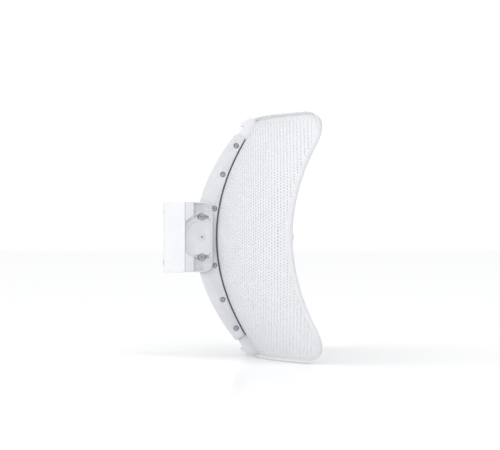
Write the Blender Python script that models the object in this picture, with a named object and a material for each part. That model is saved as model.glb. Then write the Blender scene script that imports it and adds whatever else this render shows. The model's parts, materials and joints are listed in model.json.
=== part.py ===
"""Outdoor wireless bridge: a wide reflector in two wings on a curved spine, a radio feed in front of it,
and a tilting yoke with a clamp jaw that grips a pole behind it.

Metres. The origin is on the pole's axis at the clamp's mid-height, +Z runs up the pole, +Y is the way
the reflector faces and +X is across it.
"""

import math

import bmesh
import bpy
from mathutils import Matrix, Vector

GAP = 0.0003  # clearance kept between pieces that touch
CUT_PAST = 0.0030  # how far a cutter runs past what it goes through
FAR = 0.0800  # further than any piece of the mount reaches, for cutters that run right through

# Reflector: a paraboloid, wider than it is high, in two pressed wings with a lip turned back all round.
FOCAL_LENGTH = 0.15575
VERTEX_Y = 0.071
HALF_HEIGHT = 0.2255
EDGE_HALF_WIDTH = 0.2900  # the sheet's edge, in the middle of the lip
EDGE_HALF_HEIGHT = 0.2200
EDGE_CORNER = 0.0560
SHEET = 0.0016
LIP_RADIUS = 0.0009  # half the lip's thickness
LIP_PROUD = 0.0004
LIP_DEPTH = 0.0074
LIP_SIDES = 8
FLANGE_DEPTH = 0.0175  # the inner edge of each wing, turned back along the spine
FLANGE_SHEET = 0.0012

# Spine: a curved channel between the wings' flanges, closed by end caps and clad in two side plates.
SPINE_HALF_WIDTH = 0.0152
SPINE_WALL = 0.0025
SPINE_END = 0.2105
SPINE_PROUD = 0.0006  # how far the spine's face stands in front of the sheet
BOSS_RADIUS = 0.0048
BOSS_DEPTH = 0.0085
BOSS_FLOOR = 0.0014  # left at the bottom of each boss's bore
OVERLAP = 0.0010  # how far joined solids run into each other
WING_START = SPINE_HALF_WIDTH + GAP
PLATE_INNER = WING_START + FLANGE_SHEET + GAP
PLATE_THICKNESS = 0.0070
PLATE_OUTER = PLATE_INNER + PLATE_THICKNESS
PLATE_FRONT_GAP = 0.0024  # between the plate's front edge and the back of the reflector
PLATE_REAR_Y = 0.0295
PLATE_REAR_FOCAL = 0.12425
PLATE_FRONT_END = 0.1850
PLATE_REAR_END = 0.1955
PLATE_CORNER = 0.0040
SEAL_OUTER = 0.0190  # a rubber strip at the bottom of the gap in front of each plate
SEAL_FRONT = 0.0002
SCREW_PLACES = ((0.0665, 0.0534), (0.0823, 0.1180), (0.1075, 0.1722))  # (y, z), repeated below at -z
CAP_HOOK_ROOT = (0.1310, 0.2220)
CAP_HOOK_TIP = (0.1180, 0.2130)
CAP_HOOK_RADIUS = 0.0033
CAP_HOOK_HALF_WIDTH = 0.0140
CAP_OVERLAP = 0.0020
CAP_PLUG_START = 0.2010

# Tilt joint: an axis along X through the yoke's cheeks, locked by two bolts in arc slots.
PIVOT_Y = 0.0426
PIN_RADIUS = 0.0047
PIN_SOCKET_FLATS = 0.0048
PIN_SOCKET_DEPTH = 0.0060
PIN_FLANGE_RADIUS = 0.0058
PIN_FLANGE = 0.0012
PIN_CHAMFER = 0.0004
PIN_INNER_END = 0.0142
SLOT_RADIUS = 0.0382
TILT_LIMIT = math.radians(14.0)
SLOT_SWEEP = TILT_LIMIT + math.radians(2.0)
INDEX_HOLE_PLACE = (0.0577, 0.0318)
INDEX_HOLE_RADIUS = 0.0012
PIVOT = (PIVOT_Y, 0.0)

# Yoke: two cheeks outside the side plates, joined by a V saddle and ears for the clamp bolts.
YOKE_REAR = 0.0118
YOKE_FRONT = 0.0634
YOKE_HALF_HEIGHT = 0.0660
YOKE_CORNER = 0.0170
CHEEK_INNER = PLATE_OUTER + 2 * GAP
CHEEK_FLOOR = 0.0276
CHEEK_DISC = 0.0280
CHEEK_RING = 0.0302
CHEEK_RIM = 0.0340
RIM_WIDTH = 0.0025
CHEEK_BEVEL = 0.0008
CHEEK_CUT_START = 0.0150  # cutters through a cheek start here, so that they leave the other one alone
RING_INNER = 0.0318
RING_OUTER = 0.0417
RIB_HALF_WIDTH = 0.0006
RIB_TOP = 0.0314
EAR_FRONT = 0.0277
EAR_INNER = 0.0300
EAR_OUTER = 0.0420
EAR_LOW = 0.0220
EAR_HALF_HEIGHT = 0.0652
SADDLE_APEX = 0.0242
SADDLE_SLOPE = math.tan(math.radians(30.0))  # the saddle's V is open by 120 degrees
SADDLE_HALF_WIDTH = 0.0220
WEB_THICKNESS = 0.0045
WEB_HALF_HEIGHT = 0.0656

# Rear jaw: a smooth shell round the pole, with a second V saddle.
JAW_FRONT = 0.0115
JAW_REAR = -0.0300
JAW_HALF_WIDTH = 0.0420
JAW_HALF_HEIGHT = 0.0665
JAW_CORNER = 0.0100
JAW_BEVEL = 0.0014
JAW_WALL_INNER = 0.0258
JAW_CELL_WALL = 0.0030
JAW_CELL_SIDES = (0.0060, 0.0225)  # X range of the hollow behind each flank of the saddle

# Fasteners: M6 on the clamp and the tilt joint, M5 screws on the spine, M3 screws on the feed.
M6_RADIUS = 0.0030
M6_HOLE = 0.0033
M6_HEAD_FLATS = 0.0100
M6_HEAD_HEIGHT = 0.0044
M6_NUT_HEIGHT = 0.0050
M6_FLANGE_RADIUS = 0.0070
M6_FLANGE = 0.0012
NUT_POCKET_FLATS = 0.0106
NUT_POCKET_FLOOR = 0.0150
CLAMP_BOLT_X = 0.0320
CLAMP_BOLT_Z = 0.0480
CLAMP_BOLT_SEAT = -0.0220
CLAMP_BOLT_TIP = 0.0272
COUNTERBORE_RADIUS = 0.0062
M5_HOLE = 0.0027
M5_RADIUS = 0.0024
M5_HEAD_RADIUS = 0.0047
M5_HEAD_HEIGHT = 0.0028
M5_LENGTH = 0.0120
M5_SEAT = PLATE_OUTER - 0.0032  # the heads are sunk in the side plates
M5_COUNTERBORE = 0.0053
M3_HOLE = 0.0018
M3_RADIUS = 0.0015
M3_HEAD_RADIUS = 0.0028
M3_HEAD_HEIGHT = 0.0018
M3_LENGTH = 0.0060
M3_BORE_DEPTH = 0.0085
RECESS_BLADE = 0.0011
THREAD_END_CHAMFER = 0.0006

# Feed: a round radio housing along the boresight, from the spine to its domed nose near the focus.
FEED_RADIUS = 0.0200
FEED_WALL = 0.0020
HOUSING_REAR = 0.0800
HOUSING_FRONT = 0.1860
NOSE_TIP = 0.2170
NOSE_TIP_RADIUS = 0.0004  # the small flat facet at the dome's middle
NOSE_SWEEP = 1.40  # radians of dome before that facet
COLLAR_RADIUS = 0.0310
COLLAR_FRONT = 0.0860
COLLAR_BORE = 0.0219
BASE_REAR = 0.0805
BASE_FRONT = 0.0860
NECK_HALF_WIDTH = 0.0105
NECK_HALF_HEIGHT = 0.0088
NECK_REAR = 0.0520
JACK_HALF_WIDTH = 0.0080
JACK_HALF_HEIGHT = 0.0068
JACK_FRONT = 0.0720
JACK_REAR = 0.0532
JACK_WALL = 0.0014
JACK_BACK_WALL = 0.0040
BOARD_HALF_WIDTH = 0.0150
BOARD_REAR = 0.0890
BOARD_FRONT = 0.1770
BOARD_HALF_THICKNESS = 0.0008
TONGUE_HALF_WIDTH = 0.0070
SHIELD_REAR = 0.1050
SHIELD_FRONT = 0.1450
SHIELD_HALF_WIDTH = 0.0110
SHIELD_TOP = 0.0060
SHIELD_BEVEL = 0.0006
WAVEGUIDE_RADIUS = 0.0100
WAVEGUIDE_WALL = 0.0010
WAVEGUIDE_REAR = 0.1790
WAVEGUIDE_FRONT = 0.2060
RADIATOR_Y = 0.1820
RADIATOR_THICKNESS = 0.0012
SUB_REFLECTOR_Y = 0.2075
SUB_REFLECTOR_RADIUS = 0.0110
SUB_REFLECTOR_THICKNESS = 0.0012
SEAL_THICKNESS = 0.0010
HOUSING_SCREW_Y = 0.0832
HOUSING_SCREW_SEAT = FEED_RADIUS - M3_HEAD_HEIGHT / 2
FOOT_PROUD = 0.0006  # the housing's rear end is this much thicker than the rest
FOOT_LENGTH = 0.0200
FOOT_TAPER = 0.0100

# Port door and its hinge, at the rear end of the feed's neck.
DOOR_HALF_WIDTH = 0.0100
DOOR_TOP = 0.0086
DOOR_THICKNESS = 0.0014
DOOR_BEVEL = 0.0004
GASKET_THICKNESS = 0.0008
GASKET_WIDTH = 0.0011
HINGE_Z = -0.0106
HINGE_RADIUS = 0.0016
HINGE_PIN_RADIUS = 0.0008
HINGE_BORE = 0.0011
HINGE_HALF_LENGTH = 0.0098
HINGE_MIDDLE = 0.0048
ARM_HALF_HEIGHT = 0.0009
ARM_LENGTH = 0.0030
DOOR_FRONT = NECK_REAR - GASKET_THICKNESS - 2 * GAP
HINGE_Y = DOOR_FRONT - DOOR_THICKNESS / 2

# Reset button and status light, on the underside of the housing.
BUTTON_Y = 0.0960
BUTTON_RADIUS = 0.0024
BUTTON_HOLE = 0.0027
BUTTON_FLANGE_RADIUS = 0.0036
BUTTON_FLANGE = 0.0012
BUTTON_PROUD = 0.0010
BUTTON_CHAMFER = 0.0004
BUTTON_SLACK = 0.0007  # between its flange and the inside of the housing
LENS_Y = 0.1120
LENS_HALF_LENGTH = 0.0070
LENS_HALF_WIDTH = 0.0016
LENS_PROUD = 0.0003

CIRCLE = 24
SMALL_CIRCLE = 12
FEED_CIRCLE = 22  # puts a flat facet, not an edge, at the top and bottom of the housing
ALONG_X = (0.0, math.pi / 2, 0.0)
ALONG_MINUS_X = (0.0, -math.pi / 2, 0.0)
ALONG_Y = (-math.pi / 2, 0.0, 0.0)
ALONG_MINUS_Y = (math.pi / 2, 0.0, 0.0)
ALONG_Z = (0.0, 0.0, 0.0)
ALONG_MINUS_Z = (math.pi, 0.0, 0.0)
SIDES = (("right", 1), ("left", -1))
LEVELS = (("upper", 1), ("lower", -1))


# ---- Materials ----


def material(name, colour, roughness, metallic=0.0):
    made = bpy.data.materials.new(name)
    made.use_nodes = True
    shader = made.node_tree.nodes["Principled BSDF"]
    shader.inputs["Base Color"].default_value = (*colour, 1.0)
    shader.inputs["Roughness"].default_value = roughness
    shader.inputs["Metallic"].default_value = metallic
    made.diffuse_color = (*colour, 1.0)
    return made


def make_materials():
    return {
        "powder_coat": material("powder_coat", (0.84, 0.85, 0.87), 0.45),
        "moulded_grey": material("moulded_grey", (0.76, 0.77, 0.79), 0.42),
        "moulded_white": material("moulded_white", (0.88, 0.88, 0.89), 0.35),
        "radome_white": material("radome_white", (0.90, 0.90, 0.90), 0.30),
        "zinc_steel": material("zinc_steel", (0.50, 0.51, 0.53), 0.35, 1.0),
        "black_rubber": material("black_rubber", (0.02, 0.02, 0.02), 0.80),
        "grey_rubber": material("grey_rubber", (0.12, 0.13, 0.15), 0.75),
        "circuit_board": material("circuit_board", (0.02, 0.16, 0.07), 0.45),
        "tinplate": material("tinplate", (0.66, 0.67, 0.68), 0.30, 1.0),
        "copper": material("copper", (0.72, 0.38, 0.22), 0.30, 1.0),
        "jack_plastic": material("jack_plastic", (0.04, 0.04, 0.045), 0.50),
        "light_lens": material("light_lens", (0.55, 0.66, 0.80), 0.15),
    }


# ---- Mesh tools ----


def clear_scene():
    for old in list(bpy.data.objects):
        bpy.data.objects.remove(old, do_unlink=True)


def skin(name, rings, joined, capped):
    """An object from rings of equal point counts: joined holds pairs of rings, capped the filled ones."""
    mesh = bmesh.new()
    rows = [[mesh.verts.new(point) for point in ring] for ring in rings]
    for number in capped:
        mesh.faces.new(rows[number])
    for first, second in joined:
        low, high = rows[first], rows[second]
        for i in range(len(low)):
            j = (i + 1) % len(low)
            mesh.faces.new((low[i], low[j], high[j], high[i]))
    bmesh.ops.recalc_face_normals(mesh, faces=mesh.faces)
    data = bpy.data.meshes.new(name)
    mesh.to_mesh(data)
    mesh.free()
    made = bpy.data.objects.new(name, data)
    bpy.context.scene.collection.objects.link(made)
    return made


def loft(name, rings, closed=False):
    """A skin through rings in turn, capped at both ends or closed end to start."""
    last = len(rings) - 1
    joined = [(i, i + 1) for i in range(last)]
    if closed:
        return skin(name, rings, joined + [(last, 0)], [])
    return skin(name, rings, joined, [0, last])


def circle(radius, height, count=CIRCLE):
    """A ring of points round the local Z axis."""
    turn = 2 * math.pi / count
    return [
        Vector((radius * math.cos(i * turn), radius * math.sin(i * turn), height))
        for i in range(count)
    ]


def hexagon(flats, height, count=SMALL_CIRCLE):
    """A ring of points on a hexagon round the local Z axis, with a corner at +X."""
    apothem = flats / 2
    points = []
    for i in range(count):
        angle = i * 2 * math.pi / count
        from_flat = (angle % (math.pi / 3)) - math.pi / 6
        reach = apothem / math.cos(from_flat)
        points.append(Vector((reach * math.cos(angle), reach * math.sin(angle), height)))
    return points


def turned(name, profile, count, closed=False):
    """A turned piece about the local Z axis from (radius, height) points."""
    return loft(name, [circle(radius, height, count) for radius, height in profile], closed)


def prism_x(name, outline, start, end):
    """An outline of (y, z) points, extruded along X."""
    rings = [[Vector((x, y, z)) for y, z in outline] for x in (start, end)]
    return loft(name, rings)


def prism_z(name, outline, start, end):
    """An outline of (x, y) points, extruded along Z."""
    rings = [[Vector((x, y, z)) for x, y in outline] for z in (start, end)]
    return loft(name, rings)


def box(name, low, high):
    outline = [(low[0], low[1]), (high[0], low[1]), (high[0], high[1]), (low[0], high[1])]
    return prism_z(name, outline, low[2], high[2])


def rod_x(name, radius, place, start, end, count=CIRCLE, end_radius=None):
    """A round bar along X at (y, z), straight or tapering to another radius."""
    rings = []
    for x, reach in ((start, radius), (end, end_radius or radius)):
        rings.append([Vector((x, p.x + place[0], p.y + place[1])) for p in circle(reach, 0.0, count)])
    return loft(name, rings)


def rod_y(name, flats_or_radius, place, start, end, hexed=False):
    """A round or hexagonal bar along Y at (x, z)."""
    ring = hexagon if hexed else circle
    rings = []
    for y in (start, end):
        rings.append([Vector((p.x + place[0], y, p.y + place[1])) for p in ring(flats_or_radius, 0.0)])
    return loft(name, rings)


def rod_z(radius, y, start, end, count):
    """A round cutter along Z at a place on the boresight."""
    made = turned("way", [(radius, start), (radius, end)], count)
    made.data.transform(Matrix.Translation((0.0, y, 0.0)))
    return made


def rounded(corners, steps=4):
    """A closed outline from (u, v, radius) corners, each radius drawn as an arc."""
    outline = []
    count = len(corners)
    for i, (u, v, radius) in enumerate(corners):
        here = Vector((u, v))
        if radius == 0:
            outline.append((u, v))
            continue
        before = (Vector(corners[i - 1][:2]) - here).normalized()
        after = (Vector(corners[(i + 1) % count][:2]) - here).normalized()
        half = before.angle(after) / 2
        centre = here + (before + after).normalized() * (radius / math.sin(half))
        start = here + before * (radius / math.tan(half)) - centre
        end = here + after * (radius / math.tan(half)) - centre
        sweep = start.angle_signed(end)
        for step in range(steps + 1):
            spoke = start.copy()
            spoke.rotate(Matrix.Rotation(-sweep * step / steps, 2))
            outline.append(tuple(centre + spoke))
    return outline


def bake(made):
    """Applies an object's modifiers to its mesh."""
    graph = bpy.context.evaluated_depsgraph_get()
    mesh = bpy.data.meshes.new_from_object(made.evaluated_get(graph), depsgraph=graph)
    old = made.data
    made.modifiers.clear()
    made.data = mesh
    bpy.data.meshes.remove(old)


def combine(made, others, operation):
    """Joins or cuts an object with others, which are used up."""
    for other in others:
        modifier = made.modifiers.new(operation.title(), "BOOLEAN")
        modifier.operation = operation
        modifier.solver = "EXACT"
        modifier.object = other
        bake(made)
        bpy.data.objects.remove(other)
    return made


def join(made, *others):
    return combine(made, others, "UNION")


def cut(made, *others):
    return combine(made, others, "DIFFERENCE")


def overlap(made, *others):
    return combine(made, others, "INTERSECT")


def bevel(made, width, segments=2):
    modifier = made.modifiers.new("Bevel", "BEVEL")
    modifier.width = width
    modifier.segments = segments
    modifier.limit_method = "ANGLE"
    modifier.angle_limit = math.radians(50.0)
    bake(made)


def finish(made, surface, holder, smooth=40.0):
    """Gives an object its material and shading and hangs it on its body's empty."""
    made.data.materials.clear()
    made.data.materials.append(surface)
    made.data.shade_smooth()
    made.data.set_sharp_from_angle(angle=math.radians(smooth))
    made.parent = holder
    made.matrix_parent_inverse = Matrix.Translation(-holder.location)
    return made


def empty(name, place, holder=None):
    made = bpy.data.objects.new(name, None)
    made.empty_display_size = 0.02
    made.location = place
    bpy.context.scene.collection.objects.link(made)
    if holder:
        made.parent = holder
        made.matrix_parent_inverse = Matrix.Translation(-holder.location)
    return made


def copies(prototype, places, surface, holder):
    """One object for each (name, location, rotation), all sharing the prototype's mesh."""
    for name, place, turn in places:
        made = bpy.data.objects.new(name, prototype.data)
        bpy.context.scene.collection.objects.link(made)
        made.location = place
        made.rotation_euler = turn
        finish(made, surface, holder)
    bpy.data.objects.remove(prototype)


# ---- Shapes that several pieces share ----


def dish_y(x, z):
    """Y of the reflector's back surface."""
    return VERTEX_Y + (x * x + z * z) / (4.0 * FOCAL_LENGTH)


def square_depth(depth, z):
    """How far along Y a depth measured square to the spine's curve reaches."""
    slope = z / (2.0 * FOCAL_LENGTH)
    return depth * math.sqrt(1.0 + slope * slope)


def spine_rear(z):
    return dish_y(0.0, z) - square_depth(FLANGE_DEPTH, z)


def spread(low, high, count):
    """Evenly spaced values, both ends included."""
    return [low + (high - low) * i / (count - 1) for i in range(count)]


def screw_places():
    """(y, z) of the six spine screws."""
    return [(y, z * sign) for _, sign in LEVELS for y, z in SCREW_PLACES]


def slot_cutter(sign, level):
    """One arc slot, centred above or below the tilt axis, through a cheek."""
    points = []
    for end in (1, -1):
        radius = SLOT_RADIUS + end * M6_HOLE
        for angle in spread(-SLOT_SWEEP * end, SLOT_SWEEP * end, 9):
            points.append(Vector((radius * math.sin(angle), radius * math.cos(angle))))
        last = SLOT_SWEEP * end
        outward = Vector((math.sin(last), math.cos(last)))
        along = Vector((math.cos(last), -math.sin(last)))
        for turn in spread(0.0, math.pi, 7)[1:-1]:
            spoke = outward * math.cos(turn) + along * math.sin(turn)
            points.append(outward * SLOT_RADIUS + spoke * (end * M6_HOLE))
    outline = [(PIVOT_Y + point.x, level * point.y) for point in points]
    return prism_x("slot_cutter", outline, sign * CHEEK_CUT_START, sign * FAR)


# ---- Reflector and spine ----


def edge_x(z):
    """X of the sheet's outer edge at a height."""
    past = abs(z) - (EDGE_HALF_HEIGHT - EDGE_CORNER)
    if past <= 0:
        return EDGE_HALF_WIDTH
    return EDGE_HALF_WIDTH - EDGE_CORNER + math.sqrt(max(EDGE_CORNER**2 - past**2, 0.0))


def wing_heights():
    """Heights of the wing's sections, closer together round its corners."""
    start = EDGE_HALF_HEIGHT - EDGE_CORNER
    corner = [start + EDGE_CORNER * math.sin(math.pi / 2 * i / 5) for i in range(1, 6)]
    straight = spread(-start, start, 13)
    return [-z for z in reversed(corner)] + straight + corner


def wing_section(z):
    """The wing cut at one height: the flange, then the back of the sheet, then its front."""
    rear = spine_rear(z)
    outer = edge_x(z)
    inner_back = WING_START + FLANGE_SHEET
    across = spread(inner_back, outer, 10)
    back = [Vector((x, dish_y(x, z), z)) for x in across]
    front = [Vector((x, dish_y(x, z) + SHEET, z)) for x in reversed(across)]
    front[-1].x = WING_START
    return [Vector((WING_START, rear, z)), Vector((inner_back, rear, z))] + back + front


def edge_path():
    """(x, z) along the sheet's edge, from the spine at the bottom round to the spine at the top."""
    centre_x = EDGE_HALF_WIDTH - EDGE_CORNER
    centre_z = EDGE_HALF_HEIGHT - EDGE_CORNER
    below = [(x, -EDGE_HALF_HEIGHT) for x in spread(WING_START, centre_x, 7)[:-1]]
    turn = [
        (centre_x + EDGE_CORNER * math.sin(a), -centre_z - EDGE_CORNER * math.cos(a))
        for a in spread(0.0, math.pi / 2, 7)
    ]
    side = [(EDGE_HALF_WIDTH, z) for z in spread(-centre_z, centre_z, 11)[1:-1]]
    return below + turn + side + [(x, -z) for x, z in reversed(below + turn)]


def make_lip():
    """The lip round the sheet's edge: a thin wall square to the sheet, mostly behind it."""
    points = [Vector((x, dish_y(x, z) + SHEET / 2, z)) for x, z in edge_path()]
    last = len(points) - 1
    rings = []
    for i, point in enumerate(points):
        along = points[min(i + 1, last)] - points[max(i - 1, 0)]
        if i in (0, last):
            along = Vector((1.0 if i == 0 else -1.0, 0.0, 0.0))
        back = Vector((point.x, -2.0 * FOCAL_LENGTH, point.z)).normalized()
        across = along.cross(back).normalized()
        back = across.cross(along).normalized()
        ring = []
        for k in range(LIP_SIDES):
            turn = 2 * math.pi * (k + 0.5) / LIP_SIDES
            depth = LIP_DEPTH if math.sin(turn) > 0 else -LIP_PROUD
            place = across * (LIP_RADIUS * math.cos(turn)) + back * (LIP_RADIUS * math.sin(turn) + depth)
            ring.append(point + place)
        rings.append(ring)
    return loft("lip", rings)


def make_wing(side, sign, surface, holder):
    wing = loft(f"reflector_{side}", [wing_section(z) for z in wing_heights()])
    join(wing, make_lip())
    start = WING_START - CUT_PAST
    end = WING_START + FLANGE_SHEET + CUT_PAST
    cut(wing, *[rod_x("hole", M5_HOLE, place, start, end, SMALL_CIRCLE) for place in screw_places()])
    if sign < 0:
        wing.data.transform(Matrix.Scale(-1, 4, (1, 0, 0)))
        wing.data.flip_normals()
    finish(wing, surface, holder, 30.0)


def make_spine(surface, holder):
    rings = []
    inner = SPINE_HALF_WIDTH - SPINE_WALL
    for z in spread(-SPINE_END, SPINE_END, 21):
        front = dish_y(0.0, z) + SHEET + SPINE_PROUD
        floor = front - SPINE_WALL - SPINE_PROUD
        rear = spine_rear(z)
        outline = [
            (-SPINE_HALF_WIDTH, rear),
            (-SPINE_HALF_WIDTH, front),
            (SPINE_HALF_WIDTH, front),
            (SPINE_HALF_WIDTH, rear),
            (inner, rear),
            (inner, floor),
            (-inner, floor),
            (-inner, rear),
        ]
        rings.append([Vector((x, y, z)) for x, y in outline])
    spine = loft("spine_channel", rings)
    for _, sign in SIDES:
        for place in screw_places():
            start = sign * (SPINE_HALF_WIDTH - BOSS_DEPTH)
            join(spine, rod_x("boss", BOSS_RADIUS, place, start, sign * (inner + OVERLAP), SMALL_CIRCLE))
            start += sign * BOSS_FLOOR
            end = sign * (SPINE_HALF_WIDTH + CUT_PAST)
            cut(spine, rod_x("bore", M5_HOLE, place, start, end, SMALL_CIRCLE))
    reach_x, reach_z = NECK_HALF_WIDTH + GAP, NECK_HALF_HEIGHT + 2 * GAP
    low = (-reach_x, VERTEX_Y - SPINE_WALL - CUT_PAST, -reach_z)
    cut(spine, box("way", low, (reach_x, VERTEX_Y + SHEET + CUT_PAST, reach_z)))
    finish(spine, surface, holder)


def hook_outline():
    """A strip with one round end, which curls back behind the spine's end."""
    root = Vector(CAP_HOOK_ROOT)
    tip = Vector(CAP_HOOK_TIP)
    heading = (tip - root).normalized()
    side = Vector((-heading.y, heading.x)) * CAP_HOOK_RADIUS
    outline = [root - side]
    for i in range(9):
        turn = math.pi * i / 8
        outline.append(tip - side * math.cos(turn) + heading * CAP_HOOK_RADIUS * math.sin(turn))
    outline.append(root + side)
    return outline


def make_cap(level, sign, surface, holder):
    """An end cap: a block that carries on the spine's section, a plug inside it and a hook behind it."""
    start = SPINE_END + GAP
    heights = spread(start, HALF_HEIGHT, 4)
    front = [(dish_y(0.0, z) + SHEET + SPINE_PROUD, z) for z in heights]
    rear = [(spine_rear(z), z) for z in reversed(heights)]
    cap = prism_x(f"spine_cap_{level}", front + rear, -SPINE_HALF_WIDTH, SPINE_HALF_WIDTH)
    half = SPINE_HALF_WIDTH - SPINE_WALL - GAP
    inside = spread(CAP_PLUG_START, start + CAP_OVERLAP, 4)
    front = [(dish_y(0.0, z) - SPINE_WALL, z) for z in inside]
    rear = [(spine_rear(z) + GAP, z) for z in reversed(inside)]
    join(cap, prism_x("plug", front + rear, -half, half))
    join(cap, prism_x("hook", hook_outline(), -CAP_HOOK_HALF_WIDTH, CAP_HOOK_HALF_WIDTH))
    if sign < 0:
        cap.data.transform(Matrix.Scale(-1, 4, (0, 0, 1)))
        cap.data.flip_normals()
    finish(cap, surface, holder)


def plate_outline():
    """A crescent with four softly rounded corners."""
    front = [
        (dish_y(0.0, z) - PLATE_FRONT_GAP, z, 0.0) for z in spread(-PLATE_FRONT_END, PLATE_FRONT_END, 17)
    ]
    rear = [
        (PLATE_REAR_Y + z * z / (4.0 * PLATE_REAR_FOCAL), z, 0.0)
        for z in spread(PLATE_REAR_END, -PLATE_REAR_END, 19)
    ]
    corners = front + rear
    for i in (0, len(front) - 1, len(front), len(corners) - 1):
        corners[i] = (*corners[i][:2], PLATE_CORNER)
    return rounded(corners, 3)


def make_plate(side, sign, surface, holder):
    plate = prism_x(f"side_plate_{side}", plate_outline(), sign * PLATE_INNER, sign * PLATE_OUTER)
    start, end = sign * (PLATE_INNER - CUT_PAST), sign * (PLATE_OUTER + CUT_PAST)
    holes = [rod_x("hole", M5_HOLE, place, start, end, SMALL_CIRCLE) for place in screw_places()]
    holes += [rod_x("sink", M5_COUNTERBORE, place, sign * M5_SEAT, end, 16) for place in screw_places()]
    for _, up in LEVELS:
        holes.append(rod_x("hole", M6_HOLE, (PIVOT_Y, up * SLOT_RADIUS), start, end, SMALL_CIRCLE))
    holes.append(rod_x("hole", PIN_RADIUS + GAP, PIVOT, start, end))
    cut(plate, *holes)
    finish(plate, surface, holder)


def make_edge_seal(side, sign, surface, holder):
    """A rubber strip between a side plate's front edge and the back of the reflector."""
    heights = spread(-PLATE_FRONT_END, PLATE_FRONT_END, 17)
    front = [(dish_y(0.0, z) + SEAL_FRONT, z) for z in heights]
    rear = [(dish_y(0.0, z) - PLATE_FRONT_GAP + GAP, z) for z in reversed(heights)]
    seal = prism_x(f"edge_seal_{side}", front + rear, sign * PLATE_INNER, sign * SEAL_OUTER)
    finish(seal, surface, holder)


# ---- Yoke and jaw ----


def cheek_outline(inset, rear):
    """Side outline of a cheek: square at the rear, with two round front corners."""
    front = YOKE_FRONT - inset
    top = YOKE_HALF_HEIGHT - inset
    radius = YOKE_CORNER - inset
    return rounded([(rear, -top, 0.0), (front, -top, radius), (front, top, radius), (rear, top, 0.0)], 5)


def inside_rim(sign):
    """The space inside a cheek's raised rim, which bounds the ring and the disc round the tilt axis."""
    rear = YOKE_REAR - 2 * CUT_PAST
    return prism_x("inside", cheek_outline(RIM_WIDTH, rear), sign * CHEEK_CUT_START, sign * FAR)


def make_cheek(sign):
    """One cheek: a plate with a raised rim, a rib, and a ring and a dished disc round the tilt axis."""
    rear = YOKE_REAR - CUT_PAST
    low, high = sign * CHEEK_CUT_START, sign * FAR
    cheek = prism_x("cheek", cheek_outline(0.0, rear), sign * CHEEK_INNER, sign * CHEEK_RIM)
    bevel(cheek, CHEEK_BEVEL, 1)
    floor = prism_x("floor", cheek_outline(RIM_WIDTH, EAR_FRONT + GAP), sign * CHEEK_FLOOR, high)
    cut(floor, rod_x("ring", RING_OUTER, PIVOT, low, high + sign * CUT_PAST, 48))
    head_reach = M6_FLANGE_RADIUS + 2 * GAP
    rib_front, rib_rear = PIVOT_Y + RIB_HALF_WIDTH, PIVOT_Y - RIB_HALF_WIDTH
    for _, level in LEVELS:
        ends = (level * (SLOT_RADIUS + head_reach), level * (YOKE_HALF_HEIGHT + CUT_PAST))
        outline = [(rib_rear, ends[0]), (rib_front, ends[0]), (rib_front, ends[1]), (rib_rear, ends[1])]
        cut(floor, prism_x("rib", outline, low, sign * RIB_TOP))
    ring = rod_x("ring", RING_OUTER, PIVOT, sign * CHEEK_RING, high, 48)
    disc_radius = RING_INNER - CHEEK_RING + CHEEK_DISC
    disc_top = sign * (CHEEK_RING + CUT_PAST)
    disc = rod_x("disc", disc_radius, PIVOT, sign * CHEEK_DISC, disc_top, 40, RING_INNER + CUT_PAST)
    cut(cheek, floor, overlap(ring, inside_rim(sign)), overlap(disc, inside_rim(sign)))
    swing = (SLOT_RADIUS * math.sin(TILT_LIMIT), SLOT_RADIUS * math.cos(TILT_LIMIT))
    ear_rear = YOKE_REAR - CUT_PAST + GAP
    for _, level in LEVELS:
        low_z, high_z = level * EAR_LOW, level * EAR_HALF_HEIGHT
        outline = [(ear_rear, low_z), (EAR_FRONT, low_z), (EAR_FRONT, high_z), (ear_rear, high_z)]
        ear = prism_x("ear", outline, sign * EAR_INNER, sign * EAR_OUTER)
        cut(ear, rod_x("ring", RING_OUTER + GAP, PIVOT, low, high, 48))
        join(cheek, ear)
        place = (PIVOT_Y - swing[0], level * swing[1])
        cut(cheek, rod_x("head_way", head_reach, place, sign * CHEEK_RING, high))
    return cheek


def make_yoke(surface, holder):
    shoulder = CHEEK_INNER + OVERLAP
    web_rear = YOKE_REAR - CUT_PAST
    web_front = SADDLE_APEX + WEB_THICKNESS
    web_side = web_front - shoulder * SADDLE_SLOPE
    outline = [(-shoulder, web_rear), (shoulder, web_rear), (shoulder, web_side)]
    outline += [(0.0, web_front), (-shoulder, web_side)]
    yoke = prism_z("pole_yoke", outline, -WEB_HALF_HEIGHT, WEB_HALF_HEIGHT)
    for _, sign in SIDES:
        join(yoke, make_cheek(sign))
    flank = SADDLE_APEX - CHEEK_INNER * SADDLE_SLOPE
    groove = [(0.0, SADDLE_APEX), (-CHEEK_INNER, flank), (-CHEEK_INNER, -FAR)]
    groove += [(CHEEK_INNER, -FAR), (CHEEK_INNER, flank)]
    cut(yoke, box("rear", (-FAR, -FAR, -FAR), (FAR, YOKE_REAR, FAR)))
    cut(yoke, prism_z("groove", groove, -FAR, FAR))
    for _, sign in SIDES:
        low, high = sign * CHEEK_CUT_START, sign * FAR
        cut(yoke, rod_x("bore", PIN_RADIUS + GAP, PIVOT, low, high))
        for _, level in LEVELS:
            cut(yoke, slot_cutter(sign, level))
            index_place = (INDEX_HOLE_PLACE[0], level * INDEX_HOLE_PLACE[1])
            cut(yoke, rod_x("index", INDEX_HOLE_RADIUS, index_place, low, high, 8))
            place = (sign * CLAMP_BOLT_X, level * CLAMP_BOLT_Z)
            cut(yoke, rod_y("bore", M6_HOLE, place, 0.0, FAR))
            cut(yoke, rod_y("pocket", NUT_POCKET_FLATS, place, NUT_POCKET_FLOOR, FAR, True))
    finish(yoke, surface, holder)


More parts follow.
